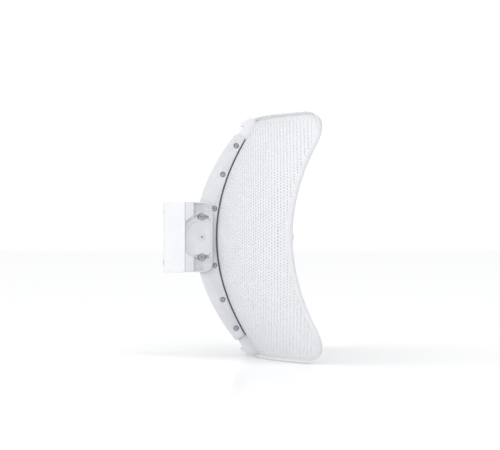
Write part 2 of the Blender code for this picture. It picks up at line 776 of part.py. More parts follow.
def make_jaw(surface, holder):
    outer = [
        (-JAW_HALF_WIDTH, JAW_FRONT, 0.0),
        (-JAW_HALF_WIDTH, JAW_REAR, JAW_CORNER),
        (JAW_HALF_WIDTH, JAW_REAR, JAW_CORNER),
        (JAW_HALF_WIDTH, JAW_FRONT, 0.0),
    ]
    jaw = prism_z("rear_jaw", rounded(outer, 5), -JAW_HALF_HEIGHT, JAW_HALF_HEIGHT)
    bevel(jaw, JAW_BEVEL, 2)
    flank = -SADDLE_APEX + SADDLE_HALF_WIDTH * SADDLE_SLOPE
    way = [(0.0, -SADDLE_APEX), (SADDLE_HALF_WIDTH, flank), (JAW_WALL_INNER, flank)]
    way += [(JAW_WALL_INNER, FAR), (-JAW_WALL_INNER, FAR), (-JAW_WALL_INNER, flank)]
    way.append((-SADDLE_HALF_WIDTH, flank))
    cut(jaw, prism_z("way", way, -FAR, FAR))
    cell_rear = JAW_REAR + JAW_CELL_WALL
    square_wall = JAW_CELL_WALL * math.sqrt(1.0 + SADDLE_SLOPE**2)
    near, far = [(x, -SADDLE_APEX + x * SADDLE_SLOPE - square_wall) for x in JAW_CELL_SIDES]
    for _, sign in SIDES:
        cell = [(sign * near[0], cell_rear), (sign * far[0], cell_rear)]
        cell += [(sign * x, y) for x, y in (far, near)]
        cut(jaw, prism_z("cell", cell, JAW_CELL_WALL, FAR), prism_z("cell", cell, -FAR, -JAW_CELL_WALL))
        for _, level in LEVELS:
            place = (sign * CLAMP_BOLT_X, level * CLAMP_BOLT_Z)
            cut(jaw, rod_y("bore", M6_HOLE, place, -FAR, FAR))
            cut(jaw, rod_y("counterbore", COUNTERBORE_RADIUS, place, -FAR, CLAMP_BOLT_SEAT))
    finish(jaw, surface, holder)


# ---- Fasteners, each built along local Z with its head above z = 0 and its shank below ----


def cross_cutter(reach, low, high):
    """A cross-shaped driver recess."""
    blade = RECESS_BLADE / 2
    quarter = [(blade, blade), (blade, reach), (-blade, reach), (-blade, blade)]
    outline = []
    for i in range(4):
        turn = Matrix.Rotation(i * math.pi / 2, 2)
        outline += [tuple(turn @ Vector(point)) for point in quarter[1:]]
    return prism_z("recess", outline, low, high)


def hex_rings(flange):
    """The start of a hexagon head or nut, seated at height 0, on a round flange or straight on the seat."""
    if not flange:
        return [hexagon(M6_HEAD_FLATS, 0.0)]
    rings = [circle(M6_FLANGE_RADIUS, height, SMALL_CIRCLE) for height in (0.0, M6_FLANGE)]
    return rings + [hexagon(M6_HEAD_FLATS, M6_FLANGE + 0.0003)]


def hex_bolt(length, flange):
    """An M6 bolt with a plain hexagon head, or with a flange under the head and a cross recess in it."""
    top = M6_HEAD_HEIGHT
    rings = [
        circle(M6_RADIUS - THREAD_END_CHAMFER, -length, SMALL_CIRCLE),
        circle(M6_RADIUS, -length + THREAD_END_CHAMFER, SMALL_CIRCLE),
        circle(M6_RADIUS, 0.0, SMALL_CIRCLE),
    ]
    rings += hex_rings(flange)
    rings += [hexagon(M6_HEAD_FLATS, top - 0.0006), circle(M6_HEAD_FLATS * 0.46, top, SMALL_CIRCLE)]
    bolt = loft("bolt", rings)
    if flange:
        cut(bolt, cross_cutter(0.0026, top - 0.0018, top + 0.001))
    return bolt


def nut(height, flange):
    """An M6 nut, with or without a flange on its lower face."""
    rings = [circle(M6_HOLE, height, SMALL_CIRCLE), circle(M6_HOLE, 0.0, SMALL_CIRCLE)]
    rings += hex_rings(flange)
    rings += [hexagon(M6_HEAD_FLATS, height - 0.0005), circle(M6_HEAD_FLATS * 0.46, height, SMALL_CIRCLE)]
    return loft("nut", rings, closed=True)


def pan_screw(shank, length, head, height):
    """A screw with a low domed head."""
    profile = [
        (shank * 0.7, -length),
        (shank, -length + shank * 0.4),
        (shank, 0.0),
        (head, 0.0),
        (head, height * 0.45),
        (head * 0.86, height * 0.8),
        (head * 0.55, height),
    ]
    return turned("screw", profile, SMALL_CIRCLE)


def make_clamp_fasteners(surface, yoke_holder, jaw_holder):
    bolts = []
    nuts = []
    for side, sign in SIDES:
        for level, up in LEVELS:
            x, z = sign * CLAMP_BOLT_X, up * CLAMP_BOLT_Z
            bolts.append((f"clamp_bolt_{level}_{side}", (x, CLAMP_BOLT_SEAT - GAP, z), ALONG_MINUS_Y))
            nuts.append((f"clamp_nut_{level}_{side}", (x, NUT_POCKET_FLOOR + GAP, z), ALONG_Y))
    copies(hex_bolt(CLAMP_BOLT_TIP - CLAMP_BOLT_SEAT, False), bolts, surface, jaw_holder)
    copies(nut(M6_NUT_HEIGHT, False), nuts, surface, yoke_holder)


def make_tilt_fasteners(surface, holder):
    seat = CHEEK_RING + GAP
    bolts = [(f"tilt_bolt_{level}", (seat, PIVOT_Y, up * SLOT_RADIUS), ALONG_X) for level, up in LEVELS]
    nuts = [(f"tilt_nut_{level}", (-seat, PIVOT_Y, up * SLOT_RADIUS), ALONG_MINUS_X) for level, up in LEVELS]
    copies(hex_bolt(2 * seat + M6_NUT_HEIGHT + 0.0015, True), bolts, surface, holder)
    copies(nut(M6_NUT_HEIGHT, True), nuts, surface, holder)


def make_spine_screws(surface, holder):
    places = []
    for side, sign in SIDES:
        turn = ALONG_X if sign > 0 else ALONG_MINUS_X
        for level, up in LEVELS:
            for i, (y, z) in enumerate(SCREW_PLACES):
                name = f"spine_screw_{level}_{side}_{i + 1}"
                places.append((name, (sign * (M5_SEAT + GAP), y, up * z), turn))
    copies(pan_screw(M5_RADIUS, M5_LENGTH, M5_HEAD_RADIUS, M5_HEAD_HEIGHT), places, surface, holder)


def make_pivot_pins(surface, holder):
    """A pin through each cheek and plate, flanged at both ends, with a hexagon socket outside."""
    outer = CHEEK_DISC + GAP
    top = outer + PIN_FLANGE
    inner_flange = PLATE_INNER - GAP
    profile = [
        (PIN_FLANGE_RADIUS - PIN_CHAMFER, PIN_INNER_END),
        (PIN_FLANGE_RADIUS, PIN_INNER_END + PIN_CHAMFER),
        (PIN_FLANGE_RADIUS, inner_flange),
        (PIN_RADIUS, inner_flange),
        (PIN_RADIUS, outer),
        (PIN_FLANGE_RADIUS, outer),
        (PIN_FLANGE_RADIUS, top - PIN_CHAMFER),
        (PIN_FLANGE_RADIUS - PIN_CHAMFER, top),
    ]
    rings = [circle(radius, height) for radius, height in profile]
    rings += [hexagon(PIN_SOCKET_FLATS, height, CIRCLE) for height in (top, top - PIN_SOCKET_DEPTH)]
    places = [
        ("pivot_pin_right", (0.0, PIVOT_Y, 0.0), ALONG_X),
        ("pivot_pin_left", (0.0, PIVOT_Y, 0.0), ALONG_MINUS_X),
    ]
    copies(loft("pin", rings), places, surface, holder)


# ---- Feed ----


def place_on_boresight(made):
    """Turns a piece built about local Z so that its axis is the boresight."""
    made.data.transform(Matrix.Rotation(-math.pi / 2, 4, "X"))
    return made


def make_collar(surface, holder):
    """A flared ring between the reflector's face and the feed, its rear edge fitted to the dish."""
    rings = []
    for radius, lift, seated in (
        (COLLAR_BORE, 0.0, True),
        (COLLAR_RADIUS, 0.0, True),
        (COLLAR_RADIUS - 0.0010, 0.0012, True),
        (COLLAR_BORE + 0.0045, COLLAR_FRONT - 0.0025, False),
        (COLLAR_BORE + 0.0025, COLLAR_FRONT, False),
        (COLLAR_BORE, COLLAR_FRONT, False),
    ):
        ring = []
        for point in circle(radius, 0.0, 32):
            y = lift
            if seated:
                y += dish_y(point.x, point.y) + SHEET + SPINE_PROUD + GAP
            ring.append(Vector((point.x, y, point.y)))
        rings.append(ring)
    finish(loft("feed_collar", rings, closed=True), surface, holder)


def make_base(surface, holder):
    """The feed's foot: a disc inside the housing, a neck through the spine, and two hinge knuckles."""
    radius = FEED_RADIUS - FEED_WALL - GAP
    base = place_on_boresight(turned("feed_base", [(radius, BASE_REAR), (radius, BASE_FRONT)], FEED_CIRCLE))
    low = (-NECK_HALF_WIDTH, NECK_REAR, -NECK_HALF_HEIGHT)
    high = (NECK_HALF_WIDTH, BASE_REAR + OVERLAP, NECK_HALF_HEIGHT)
    join(base, box("neck", low, high))
    arm_top, arm_bottom = HINGE_Z + ARM_HALF_HEIGHT, HINGE_Z - ARM_HALF_HEIGHT
    arm_rear, arm_front = NECK_REAR + GAP, NECK_REAR + ARM_LENGTH
    root = -NECK_HALF_HEIGHT + OVERLAP
    arm = [(HINGE_Y, arm_bottom), (arm_front, arm_bottom), (arm_front, root), (arm_rear, root)]
    arm += [(arm_rear, arm_top), (HINGE_Y, arm_top)]
    for _, sign in SIDES:
        start, end = sign * (HINGE_MIDDLE + GAP), sign * HINGE_HALF_LENGTH
        join(base, rod_x("knuckle", HINGE_RADIUS, (HINGE_Y, HINGE_Z), start, end, SMALL_CIRCLE))
        join(base, prism_x("arm", arm, start + sign * GAP, end - sign * GAP))
    cut(base, rod_x("pin_way", HINGE_BORE, (HINGE_Y, HINGE_Z), -FAR, FAR, SMALL_CIRCLE))
    reach_x, reach_z = JACK_HALF_WIDTH + GAP, JACK_HALF_HEIGHT + GAP
    low = (-reach_x, NECK_REAR - CUT_PAST, -reach_z)
    cut(base, box("jack_way", low, (reach_x, BASE_FRONT + CUT_PAST, reach_z)))
    for _, up in LEVELS:
        start, end = up * (radius - M3_BORE_DEPTH), up * (radius + CUT_PAST)
        cut(base, rod_z(M3_HOLE, HOUSING_SCREW_Y, start, end, SMALL_CIRCLE))
    finish(base, surface, holder)


def make_housing(surface, holder):
    """The radio's round shell, with holes for its screws, the reset button and the status light."""
    foot = FEED_RADIUS + FOOT_PROUD
    profile = [
        (FEED_RADIUS - FEED_WALL, HOUSING_REAR),
        (foot, HOUSING_REAR),
        (foot, HOUSING_REAR + FOOT_LENGTH),
        (FEED_RADIUS, HOUSING_REAR + FOOT_LENGTH + FOOT_TAPER),
        (FEED_RADIUS, HOUSING_FRONT),
        (FEED_RADIUS - FEED_WALL, HOUSING_FRONT),
    ]
    housing = place_on_boresight(turned("feed_housing", profile, FEED_CIRCLE, closed=True))
    out = FEED_RADIUS + CUT_PAST
    inside = FEED_RADIUS - FEED_WALL - CUT_PAST
    for _, up in LEVELS:
        cut(housing, rod_z(M3_HOLE, HOUSING_SCREW_Y, up * inside, up * out, SMALL_CIRCLE))
        cut(housing, rod_z(M3_HEAD_RADIUS + GAP, HOUSING_SCREW_Y, up * HOUSING_SCREW_SEAT, up * out, 16))
    cut(housing, rod_z(BUTTON_HOLE, BUTTON_Y, -out, -inside, 16))
    reach_x, reach_y = LENS_HALF_WIDTH + GAP, LENS_HALF_LENGTH + GAP
    cut(housing, box("light_way", (-reach_x, LENS_Y - reach_y, -out), (reach_x, LENS_Y + reach_y, -inside)))
    finish(housing, surface, holder)


def make_nose(surface, holder):
    """A domed radome, open at the rear."""
    centre = NOSE_TIP - FEED_RADIUS
    rear = HOUSING_FRONT + SEAL_THICKNESS + 2 * GAP
    inner = FEED_RADIUS - FEED_WALL
    outside = [(inner, rear), (FEED_RADIUS, rear)]
    outside += [
        (FEED_RADIUS * math.cos(a), centre + FEED_RADIUS * math.sin(a))
        for a in spread(0.0, NOSE_SWEEP, 7)
    ]
    outside.append((NOSE_TIP_RADIUS, NOSE_TIP))
    inside = [(NOSE_TIP_RADIUS, NOSE_TIP - FEED_WALL)]
    inside += [(inner * math.cos(a), centre + inner * math.sin(a)) for a in spread(NOSE_SWEEP, 0.0, 5)]
    rings = [circle(radius, height, FEED_CIRCLE) for radius, height in outside + inside]
    tip = len(outside) - 1
    last = len(rings) - 1
    joined = [(i, i + 1) for i in range(last) if i != tip]
    nose = skin("feed_nose", rings, joined + [(last, 0)], [tip, tip + 1])
    finish(place_on_boresight(nose), surface, holder)


def make_radio(surfaces, holder):
    """The circuit board with its shield, the waveguide, its radiator and the sub-reflector."""
    half = BOARD_HALF_THICKNESS
    outline = [
        (-TONGUE_HALF_WIDTH, JACK_FRONT + GAP),
        (TONGUE_HALF_WIDTH, JACK_FRONT + GAP),
        (TONGUE_HALF_WIDTH, BOARD_REAR),
        (BOARD_HALF_WIDTH, BOARD_REAR),
        (BOARD_HALF_WIDTH, BOARD_FRONT),
        (-BOARD_HALF_WIDTH, BOARD_FRONT),
        (-BOARD_HALF_WIDTH, BOARD_REAR),
        (-TONGUE_HALF_WIDTH, BOARD_REAR),
    ]
    finish(prism_z("radio_board", outline, -half, half), surfaces["circuit_board"], holder)
    low = (-SHIELD_HALF_WIDTH, SHIELD_REAR, half + GAP)
    shield = box("shield_can", low, (SHIELD_HALF_WIDTH, SHIELD_FRONT, SHIELD_TOP))
    bevel(shield, SHIELD_BEVEL, 1)
    finish(shield, surfaces["tinplate"], holder)
    inner = WAVEGUIDE_RADIUS - WAVEGUIDE_WALL
    profile = [
        (inner, WAVEGUIDE_REAR),
        (WAVEGUIDE_RADIUS, WAVEGUIDE_REAR),
        (WAVEGUIDE_RADIUS, WAVEGUIDE_FRONT),
        (inner, WAVEGUIDE_FRONT),
    ]
    waveguide = place_on_boresight(turned("waveguide", profile, CIRCLE, closed=True))
    finish(waveguide, surfaces["tinplate"], holder)
    for name, radius, start, thickness, surface in (
        ("radiator_board", inner - GAP, RADIATOR_Y, RADIATOR_THICKNESS, "circuit_board"),
        ("sub_reflector", SUB_REFLECTOR_RADIUS, SUB_REFLECTOR_Y, SUB_REFLECTOR_THICKNESS, "copper"),
    ):
        disc = place_on_boresight(turned(name, [(radius, start), (radius, start + thickness)], CIRCLE))
        finish(disc, surfaces[surface], holder)
    start = HOUSING_FRONT + GAP
    end = start + SEAL_THICKNESS
    inner, outer = FEED_RADIUS - FEED_WALL, FEED_RADIUS - GAP
    profile = [(inner, start), (outer, start), (outer, end), (inner, end)]
    seal = place_on_boresight(turned("nose_seal", profile, FEED_CIRCLE, closed=True))
    finish(seal, surfaces["black_rubber"], holder)


def make_port(surfaces, holder, door_holder):
    """The network jack with its gasket, the hinged door over it and the door's pin."""
    low = (-JACK_HALF_WIDTH, JACK_REAR, -JACK_HALF_HEIGHT)
    jack = box("network_jack", low, (JACK_HALF_WIDTH, JACK_FRONT, JACK_HALF_HEIGHT))
    half_x, half_z = JACK_HALF_WIDTH - JACK_WALL, JACK_HALF_HEIGHT - JACK_WALL
    low = (-half_x, JACK_REAR - CUT_PAST, -half_z)
    cut(jack, box("plug_way", low, (half_x, JACK_FRONT - JACK_BACK_WALL, half_z)))
    finish(jack, surfaces["jack_plastic"], holder)
    half_x, half_z = JACK_HALF_WIDTH + GAP, JACK_HALF_HEIGHT + GAP
    outer_x, outer_z = half_x + GASKET_WIDTH, half_z + GASKET_WIDTH
    end = NECK_REAR - GAP
    start = end - GASKET_THICKNESS
    gasket = box("port_gasket", (-outer_x, start, -outer_z), (outer_x, end, outer_z))
    cut(gasket, box("way", (-half_x, start - CUT_PAST, -half_z), (half_x, end + CUT_PAST, half_z)))
    finish(gasket, surfaces["black_rubber"], holder)
    hinge = (HINGE_Y, HINGE_Z)
    pin = rod_x("door_pin", HINGE_PIN_RADIUS, hinge, -HINGE_HALF_LENGTH, HINGE_HALF_LENGTH, SMALL_CIRCLE)
    finish(pin, surfaces["zinc_steel"], holder)
    low = (-DOOR_HALF_WIDTH, DOOR_FRONT - DOOR_THICKNESS, HINGE_Z + HINGE_RADIUS + GAP)
    door = box("port_door", low, (DOOR_HALF_WIDTH, DOOR_FRONT, DOOR_TOP))
    bevel(door, DOOR_BEVEL, 1)
    join(door, rod_x("knuckle", HINGE_RADIUS, hinge, -HINGE_MIDDLE, HINGE_MIDDLE, SMALL_CIRCLE))
    half_x, half_y = HINGE_MIDDLE - GAP, DOOR_THICKNESS / 2 - GAP
    high = (half_x, HINGE_Y + half_y, HINGE_Z + HINGE_RADIUS + OVERLAP)
    join(door, box("tongue", (-half_x, HINGE_Y - half_y, HINGE_Z), high))
    cut(door, rod_x("pin_way", HINGE_BORE, hinge, -FAR, FAR, SMALL_CIRCLE))
    finish(door, surfaces["moulded_white"], door_holder)


def make_feed_trim(surfaces, holder, button_holder):
    """The housing's screws, the status light's window and the reset button."""
    seat = HOUSING_SCREW_SEAT + GAP
    screws = [
        ("housing_screw_upper", (0.0, HOUSING_SCREW_Y, seat), ALONG_Z),
        ("housing_screw_lower", (0.0, HOUSING_SCREW_Y, -seat), ALONG_MINUS_Z),
    ]
    prototype = pan_screw(M3_RADIUS, M3_LENGTH, M3_HEAD_RADIUS, M3_HEAD_HEIGHT)
    copies(prototype, screws, surfaces["zinc_steel"], holder)
    low = (-LENS_HALF_WIDTH, LENS_Y - LENS_HALF_LENGTH, -FEED_RADIUS - LENS_PROUD)
    high = (LENS_HALF_WIDTH, LENS_Y + LENS_HALF_LENGTH, -FEED_RADIUS + FEED_WALL)
    lens = box("status_light_window", low, high)
    bevel(lens, LENS_PROUD, 1)
    finish(lens, surfaces["light_lens"], holder)
    face = -FEED_RADIUS - BUTTON_PROUD
    inner = -FEED_RADIUS + FEED_WALL + BUTTON_SLACK
    profile = [
        (BUTTON_RADIUS - BUTTON_CHAMFER, face),
        (BUTTON_RADIUS, face + BUTTON_CHAMFER),
        (BUTTON_RADIUS, inner),
        (BUTTON_FLANGE_RADIUS, inner),
        (BUTTON_FLANGE_RADIUS, inner + BUTTON_FLANGE),
    ]
    button = turned("reset_button", profile, 16)
    button.location = (0.0, BUTTON_Y, 0.0)
    finish(button, surfaces["moulded_white"], button_holder)


def main():
    clear_scene()
    surfaces = make_materials()
    mount = empty("pole_axis", (0.0, 0.0, 0.0))
    jaw_holder = empty("jaw_slide", (0.0, 0.0, 0.0), mount)
    dish = empty("tilt_axis", (0.0, PIVOT_Y, 0.0), mount)
    door_holder = empty("door_axis", (0.0, HINGE_Y, HINGE_Z), dish)
    button_holder = empty("button_axis", (0.0, BUTTON_Y, -FEED_RADIUS), dish)

    make_yoke(surfaces["moulded_grey"], mount)
    make_pivot_pins(surfaces["moulded_grey"], mount)
    make_jaw(surfaces["moulded_white"], jaw_holder)
    make_clamp_fasteners(surfaces["zinc_steel"], mount, jaw_holder)
    for side, sign in SIDES:
        make_wing(side, sign, surfaces["powder_coat"], dish)
        make_plate(side, sign, surfaces["moulded_grey"], dish)
        make_edge_seal(side, sign, surfaces["grey_rubber"], dish)
    make_spine(surfaces["moulded_white"], dish)
    for level, sign in LEVELS:
        make_cap(level, sign, surfaces["moulded_white"], dish)
    make_spine_screws(surfaces["zinc_steel"], dish)
    make_tilt_fasteners(surfaces["zinc_steel"], dish)
    make_collar(surfaces["moulded_white"], dish)
    make_base(surfaces["moulded_white"], dish)
    make_housing(surfaces["radome_white"], dish)
    make_nose(surfaces["radome_white"], dish)
    make_radio(surfaces, dish)
    make_port(surfaces, dish, door_holder)
    make_feed_trim(surfaces, dish, button_holder)


main()
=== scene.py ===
"""The looks of the outdoor wireless bridge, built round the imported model.

The two reflector wings, every fastener and the feed's housing, nose and collar are made here as finer
pieces that stand for their CAD nodes. The yoke, side plates, feed base, port door, reset button and
pivot pins keep their CAD shape, with rounded edges. Every other piece keeps its CAD mesh.
All lengths are metres, in the frame of the CAD model: +Z up the pole, +Y the way the reflector faces.
"""

import json
import math

import bmesh
import bpy
from mathutils import Matrix, Vector
from mathutils.geometry import delaunay_2d_cdt


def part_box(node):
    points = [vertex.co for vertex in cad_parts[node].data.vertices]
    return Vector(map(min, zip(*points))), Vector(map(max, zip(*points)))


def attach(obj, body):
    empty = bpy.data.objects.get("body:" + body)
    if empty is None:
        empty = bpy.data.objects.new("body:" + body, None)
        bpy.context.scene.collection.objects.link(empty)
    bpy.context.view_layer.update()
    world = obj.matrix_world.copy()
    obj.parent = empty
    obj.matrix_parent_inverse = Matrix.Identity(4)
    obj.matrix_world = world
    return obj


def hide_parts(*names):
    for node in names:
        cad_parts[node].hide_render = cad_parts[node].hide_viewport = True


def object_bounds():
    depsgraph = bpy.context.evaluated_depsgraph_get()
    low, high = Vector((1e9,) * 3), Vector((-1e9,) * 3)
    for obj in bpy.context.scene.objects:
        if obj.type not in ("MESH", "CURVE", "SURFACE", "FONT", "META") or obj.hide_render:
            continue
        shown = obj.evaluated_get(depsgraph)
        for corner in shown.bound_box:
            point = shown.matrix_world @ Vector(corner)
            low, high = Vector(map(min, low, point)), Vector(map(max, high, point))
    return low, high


# Rounded edges of the CAD shapes
YOKE_ROUND = 0.0004
PLATE_ROUND = 0.0005
SMALL_ROUND = 0.0002
ROUND_SEGMENTS = 2
ROUND_ANGLE = math.radians(30.0)  # edges that turn less than this stay as they are
FLAT_ANGLE = math.radians(1.0)
MERGE_DISTANCE = 1e-6

# Edges that turn more than this many degrees are shaded sharp
SHARP_SHEET = 40.0
SHARP_FASTENER = 35.0
SHARP_COLLAR = 35.0
SHARP_FEED = 30.0

# Reflector
FOCAL_LENGTH = 0.15575
VERTEX_Y = 0.071
EDGE_HALF_WIDTH = 0.2900  # the sheet's edge, in the middle of the lip
EDGE_HALF_HEIGHT = 0.2200
EDGE_CORNER = 0.0560
SHEET = 0.0016
LIP_RADIUS = 0.0008  # half the lip's thickness
LIP_PROUD = 0.0005  # from the sheet's middle forward, before the lip's rounding
LIP_DEPTH = 0.0074  # and back
LIP_SIDES = 12
FLANGE_DEPTH = 0.0175
FLANGE_INNER = 0.0155
FLANGE_OUTER = 0.0167
SEAM_X = 0.0172  # where the sheet ends and its bend towards the flange starts
FRONT_BEND_STEPS = 5
BACK_BEND_STEPS = 2
EDGE_STEP = 0.006

# Perforation: rings of holes about the boresight, each ring staggered against the last.
RING_START = 0.0350
RING_STEP = 0.00633
HOLE_PITCH = 0.00555
HOLE_RADIUS = 0.00180
HOLE_SIDES = 12
BLANK_INNER = 0.0075  # unpunched border along the seam
BLANK_OUTER = 0.0097  # along the outer side and round its corners
BLANK_ENDS = 0.0084  # along the top and bottom
TOUCHING = 1e-7  # points of the sheet's plan closer than this are one

# Fasteners
SCREW_PLACES = ((0.0665, 0.0534), (0.0823, 0.1180), (0.1075, 0.1722))  # (y, z), repeated below at -z
SCREW_HOLE = 0.0027
SCREW_HOLE_SIDES = 20
SCREW_SPIN = 0.65  # radians from one spine screw's cross to the next
M6_RADIUS = 0.0030
M6_PITCH = 0.0010
M6_FLATS = 0.0100
M6_HEAD_HEIGHT = 0.0044
M6_NUT_HEIGHT = 0.0050
M6_NUT_BORE = 0.0031
M6_FLANGE_RADIUS = 0.0070
M6_FLANGE_RIM = ((0.0, -0.0004), (0.0003, 0.0), (0.0008, 0.0), (0.0011, -0.0003))  # (height, out)
M6_FLANGE_TOP = 0.0019
M6_RECESS = (0.0034, 0.00065, 0.0022)  # reach, half a blade's width, depth
M6_SIDE_END = 0.0009  # below a head's top, where its chamfer starts
M6_CHAMFER = ((0.0004, 0.955), (0.0001, 0.89))  # (below the top, reach as a part of the corner's)
M6_FACE = 0.43  # radius of the flat on top, as a part of the width across flats
BORE_CHAMFER = (0.0003, 0.0004)  # out, deep
THREAD_DEPTH = 0.0004
THREAD_STEPS = 8  # rings in one turn
CLAMP_THREAD = 0.0320  # length from the tip
TILT_THREAD = 0.0160
TIP_CHAMFER = 0.0007
HEAD_FILLET = 0.0003
HEX_SIDES = 36
PAN_SIDES = 40
PAN_UPRIGHT = 0.35  # the part of a pan head's height with straight sides
PAN_RECESS = (0.58, 0.13)  # reach and half a blade's width, as parts of the head's radius
CROSS_TAPER = ((0.35, 0.5, 0.0), (0.60, 0.8, 0.25), (1.0, 1.0, 1.0))  # parts of reach, blade, depth
M5_HEAD = (0.0024, 0.0120, 0.0045, 0.0028)  # shank radius, length, head radius, head height
M3_HEAD = (0.0015, 0.0060, 0.0028, 0.0018)

# Feed
FEED_RADIUS = 0.0200
FEED_WALL = 0.0020
HOUSING_REAR = 0.0800
HOUSING_FRONT = 0.1860
FEED_CHAMFER = 0.0003
FOOT_PROUD = 0.0006
FOOT_LENGTH = 0.0200
FOOT_STEP = 0.0100  # the length over which the foot runs out
GROOVE_BACK = 0.0080  # from the housing's front
GROOVE = ((-0.0006, 0.0), (-0.0004, 0.00035), (0.0004, 0.00035), (0.0006, 0.0))  # (along, deep)
NOSE_REAR = 0.1876
NOSE_TIP = 0.2170
NOSE_GROOVE = ((0.0014, 0.0), (0.0010, 0.00025), (0.0004, 0.00025))  # (behind the dome, deep)
NOSE_PINHOLE = 0.0002  # at the very tip, where the outer and inner domes meet
COLLAR_RADIUS = 0.0310
COLLAR_INNER = 0.0219
COLLAR_FRONT = 0.0860
COLLAR_SEAT = 0.0022  # from the sheet's back to the level that the lifts below start from
COLLAR_FOOT = 0.0003  # lift of the rear face
COLLAR_RIM = ((0.0002, 0.0003), (0.0, 0.0006), (0.0004, 0.0012))  # (in from the rim, lift)
COLLAR_FLARE = (0.0016, 0.0016, 0.0118)  # where the flare starts, the same way, and how far it rises
COLLAR_NECK = 0.0036  # out from the bore, where the flare ends
COLLAR_MOUTH = ((0.0030, 0.0007), (0.0022, 0.0), (0.0004, 0.0), (0.0, 0.0004))  # (out, back)
FEED_SCREW_Y = 0.0832
FEED_SCREW_HOLE = 0.0018
HEAD_GAP = 0.0003  # round a screw's head in its seat
BUTTON_Y = 0.0960
BUTTON_HOLE = 0.0027
LENS_Y = 0.1120
LENS_HOLE = (0.0019, 0.0073)  # half its width and half its length
WALL_INSIDE = 0.010  # the feed's cutters run between these two, measured from its axis
WALL_OUTSIDE = 0.030
FEED_SIDES = 96
CUTTER_SIDES = 32

# Camera
CAMERA_PLACE = (3.8, 0.124, 0.0)
CAMERA_LENS = 144.0
CAMERA_SENSOR = 36.0
CAMERA_SHIFT = (0.010, 0.024)
CAMERA_RANGE = 60.0

# Light
WORLD_COLOUR = (0.985, 0.99, 1.0, 1.0)
WORLD_SEEN = 1.06  # to the camera, and in reflections along X
WORLD_SIDES = 0.42  # in reflections square to X
WORLD_LIGHT = 0.80
WORLD_LEAN = (0.18, -0.54, 0.12)
SUN_STRENGTH = 0.45
SUN_COLOUR = (1.0, 0.995, 0.985)
SUN_WIDTH = math.radians(40.0)
SUN_HEADING = (-0.35, -0.40, -0.85)
FRONT_LIGHT_PLACE = (3.0, 0.3, 0.6)
FRONT_LIGHT_TARGET = (0.0, 0.10, 0.0)
FRONT_LIGHT_SIZE = 2.4
FRONT_LIGHT_POWER = 20.0
FRONT_LIGHT_COLOUR = (1.0, 0.995, 0.99)

# Floor
FLOOR_RADIUS = 30.0
FLOOR_SIDES = 64
FLOOR_GAP = 0.0002
FLOOR_SHADE = 0.98
FLOOR_ROUGHNESS = 0.60
FLOOR_SHEEN = 0.20
SHEEN_ROUGHNESS = 0.10

# Surface grain: scale of the coarse and of the fine bumps, per metre
COATED = (700, 2600)
MOULDED = (1500, 4200)
BARE_METAL = (1800, 6000)
ROLLED_METAL = (1400, 5000)
CLEAR_PLASTIC = (1200, 4000)
COARSE_BUMP = 0.35
FINE_BUMP = 0.25
FINE_DEPTH = 0.4  # of the coarse bumps' depth

SIDES = (("right", 1), ("left", -1))
LEVELS = (("upper", 1), ("lower", -1))


# ---- Mesh tools ----


def new_object(name, data):
    made = bpy.data.objects.new(name, data)
    bpy.context.scene.collection.objects.link(made)
    return made


def from_bmesh(name, mesh):
    data = bpy.data.meshes.new(name)
    mesh.to_mesh(data)
    mesh.free()
    return new_object(name, data)


def spread(low, high, count):
    """Evenly spaced values, both ends included."""
    return [low + (high - low) * i / (count - 1) for i in range(count)]


def loft(name, rings, closed=False):
    """A skin through rings of equal point counts, capped at both ends or closed end to start."""
    mesh = bmesh.new()
    rows = [[mesh.verts.new(point) for point in ring] for ring in rings]
    count = len(rows[0])
    pairs = list(zip(rows, rows[1:]))
    if closed:
        pairs.append((rows[-1], rows[0]))
    else:
        mesh.faces.new(rows[0])
        mesh.faces.new(rows[-1])
    for first, second in pairs:
        for i in range(count):
            j = (i + 1) % count
            mesh.faces.new((first[i], first[j], second[j], second[i]))
    bmesh.ops.recalc_face_normals(mesh, faces=mesh.faces)
    return from_bmesh(name, mesh)


def circle(radius, height, count):
    """A ring of points round the local Z axis."""
    turn = 2 * math.pi / count
    return [
        Vector((radius * math.cos(i * turn), radius * math.sin(i * turn), height))
        for i in range(count)
    ]


def turned(name, profile, count, closed=False):
    """A turned piece about the local Z axis from (radius, height) points."""
    return loft(name, [circle(radius, height, count) for radius, height in profile], closed)


def bake(made):
    """Applies an object's modifiers to its mesh."""
    graph = bpy.context.evaluated_depsgraph_get()
    mesh = bpy.data.meshes.new_from_object(made.evaluated_get(graph), depsgraph=graph)
    made.modifiers.clear()
    made.data = mesh


def cut(made, other):
    """Cuts an object with another, which is used up."""
    modifier = made.modifiers.new("Cut", "BOOLEAN")
    modifier.operation = "DIFFERENCE"
    modifier.solver = "EXACT"
    modifier.object = other
    bake(made)
    bpy.data.objects.remove(other)


def smooth(made, degrees):
    """Shades an object smooth, but for the edges that turn more than so many degrees."""
    made.data.shade_smooth()
    made.data.set_sharp_from_angle(angle=math.radians(degrees))


def stand_in(made, node, surface):
    """Puts a finer piece in the place of a CAD node: same body, the given surface."""
    made.data.materials.clear()
    made.data.materials.append(surface)
    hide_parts(node)
    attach(made, body_of[node])


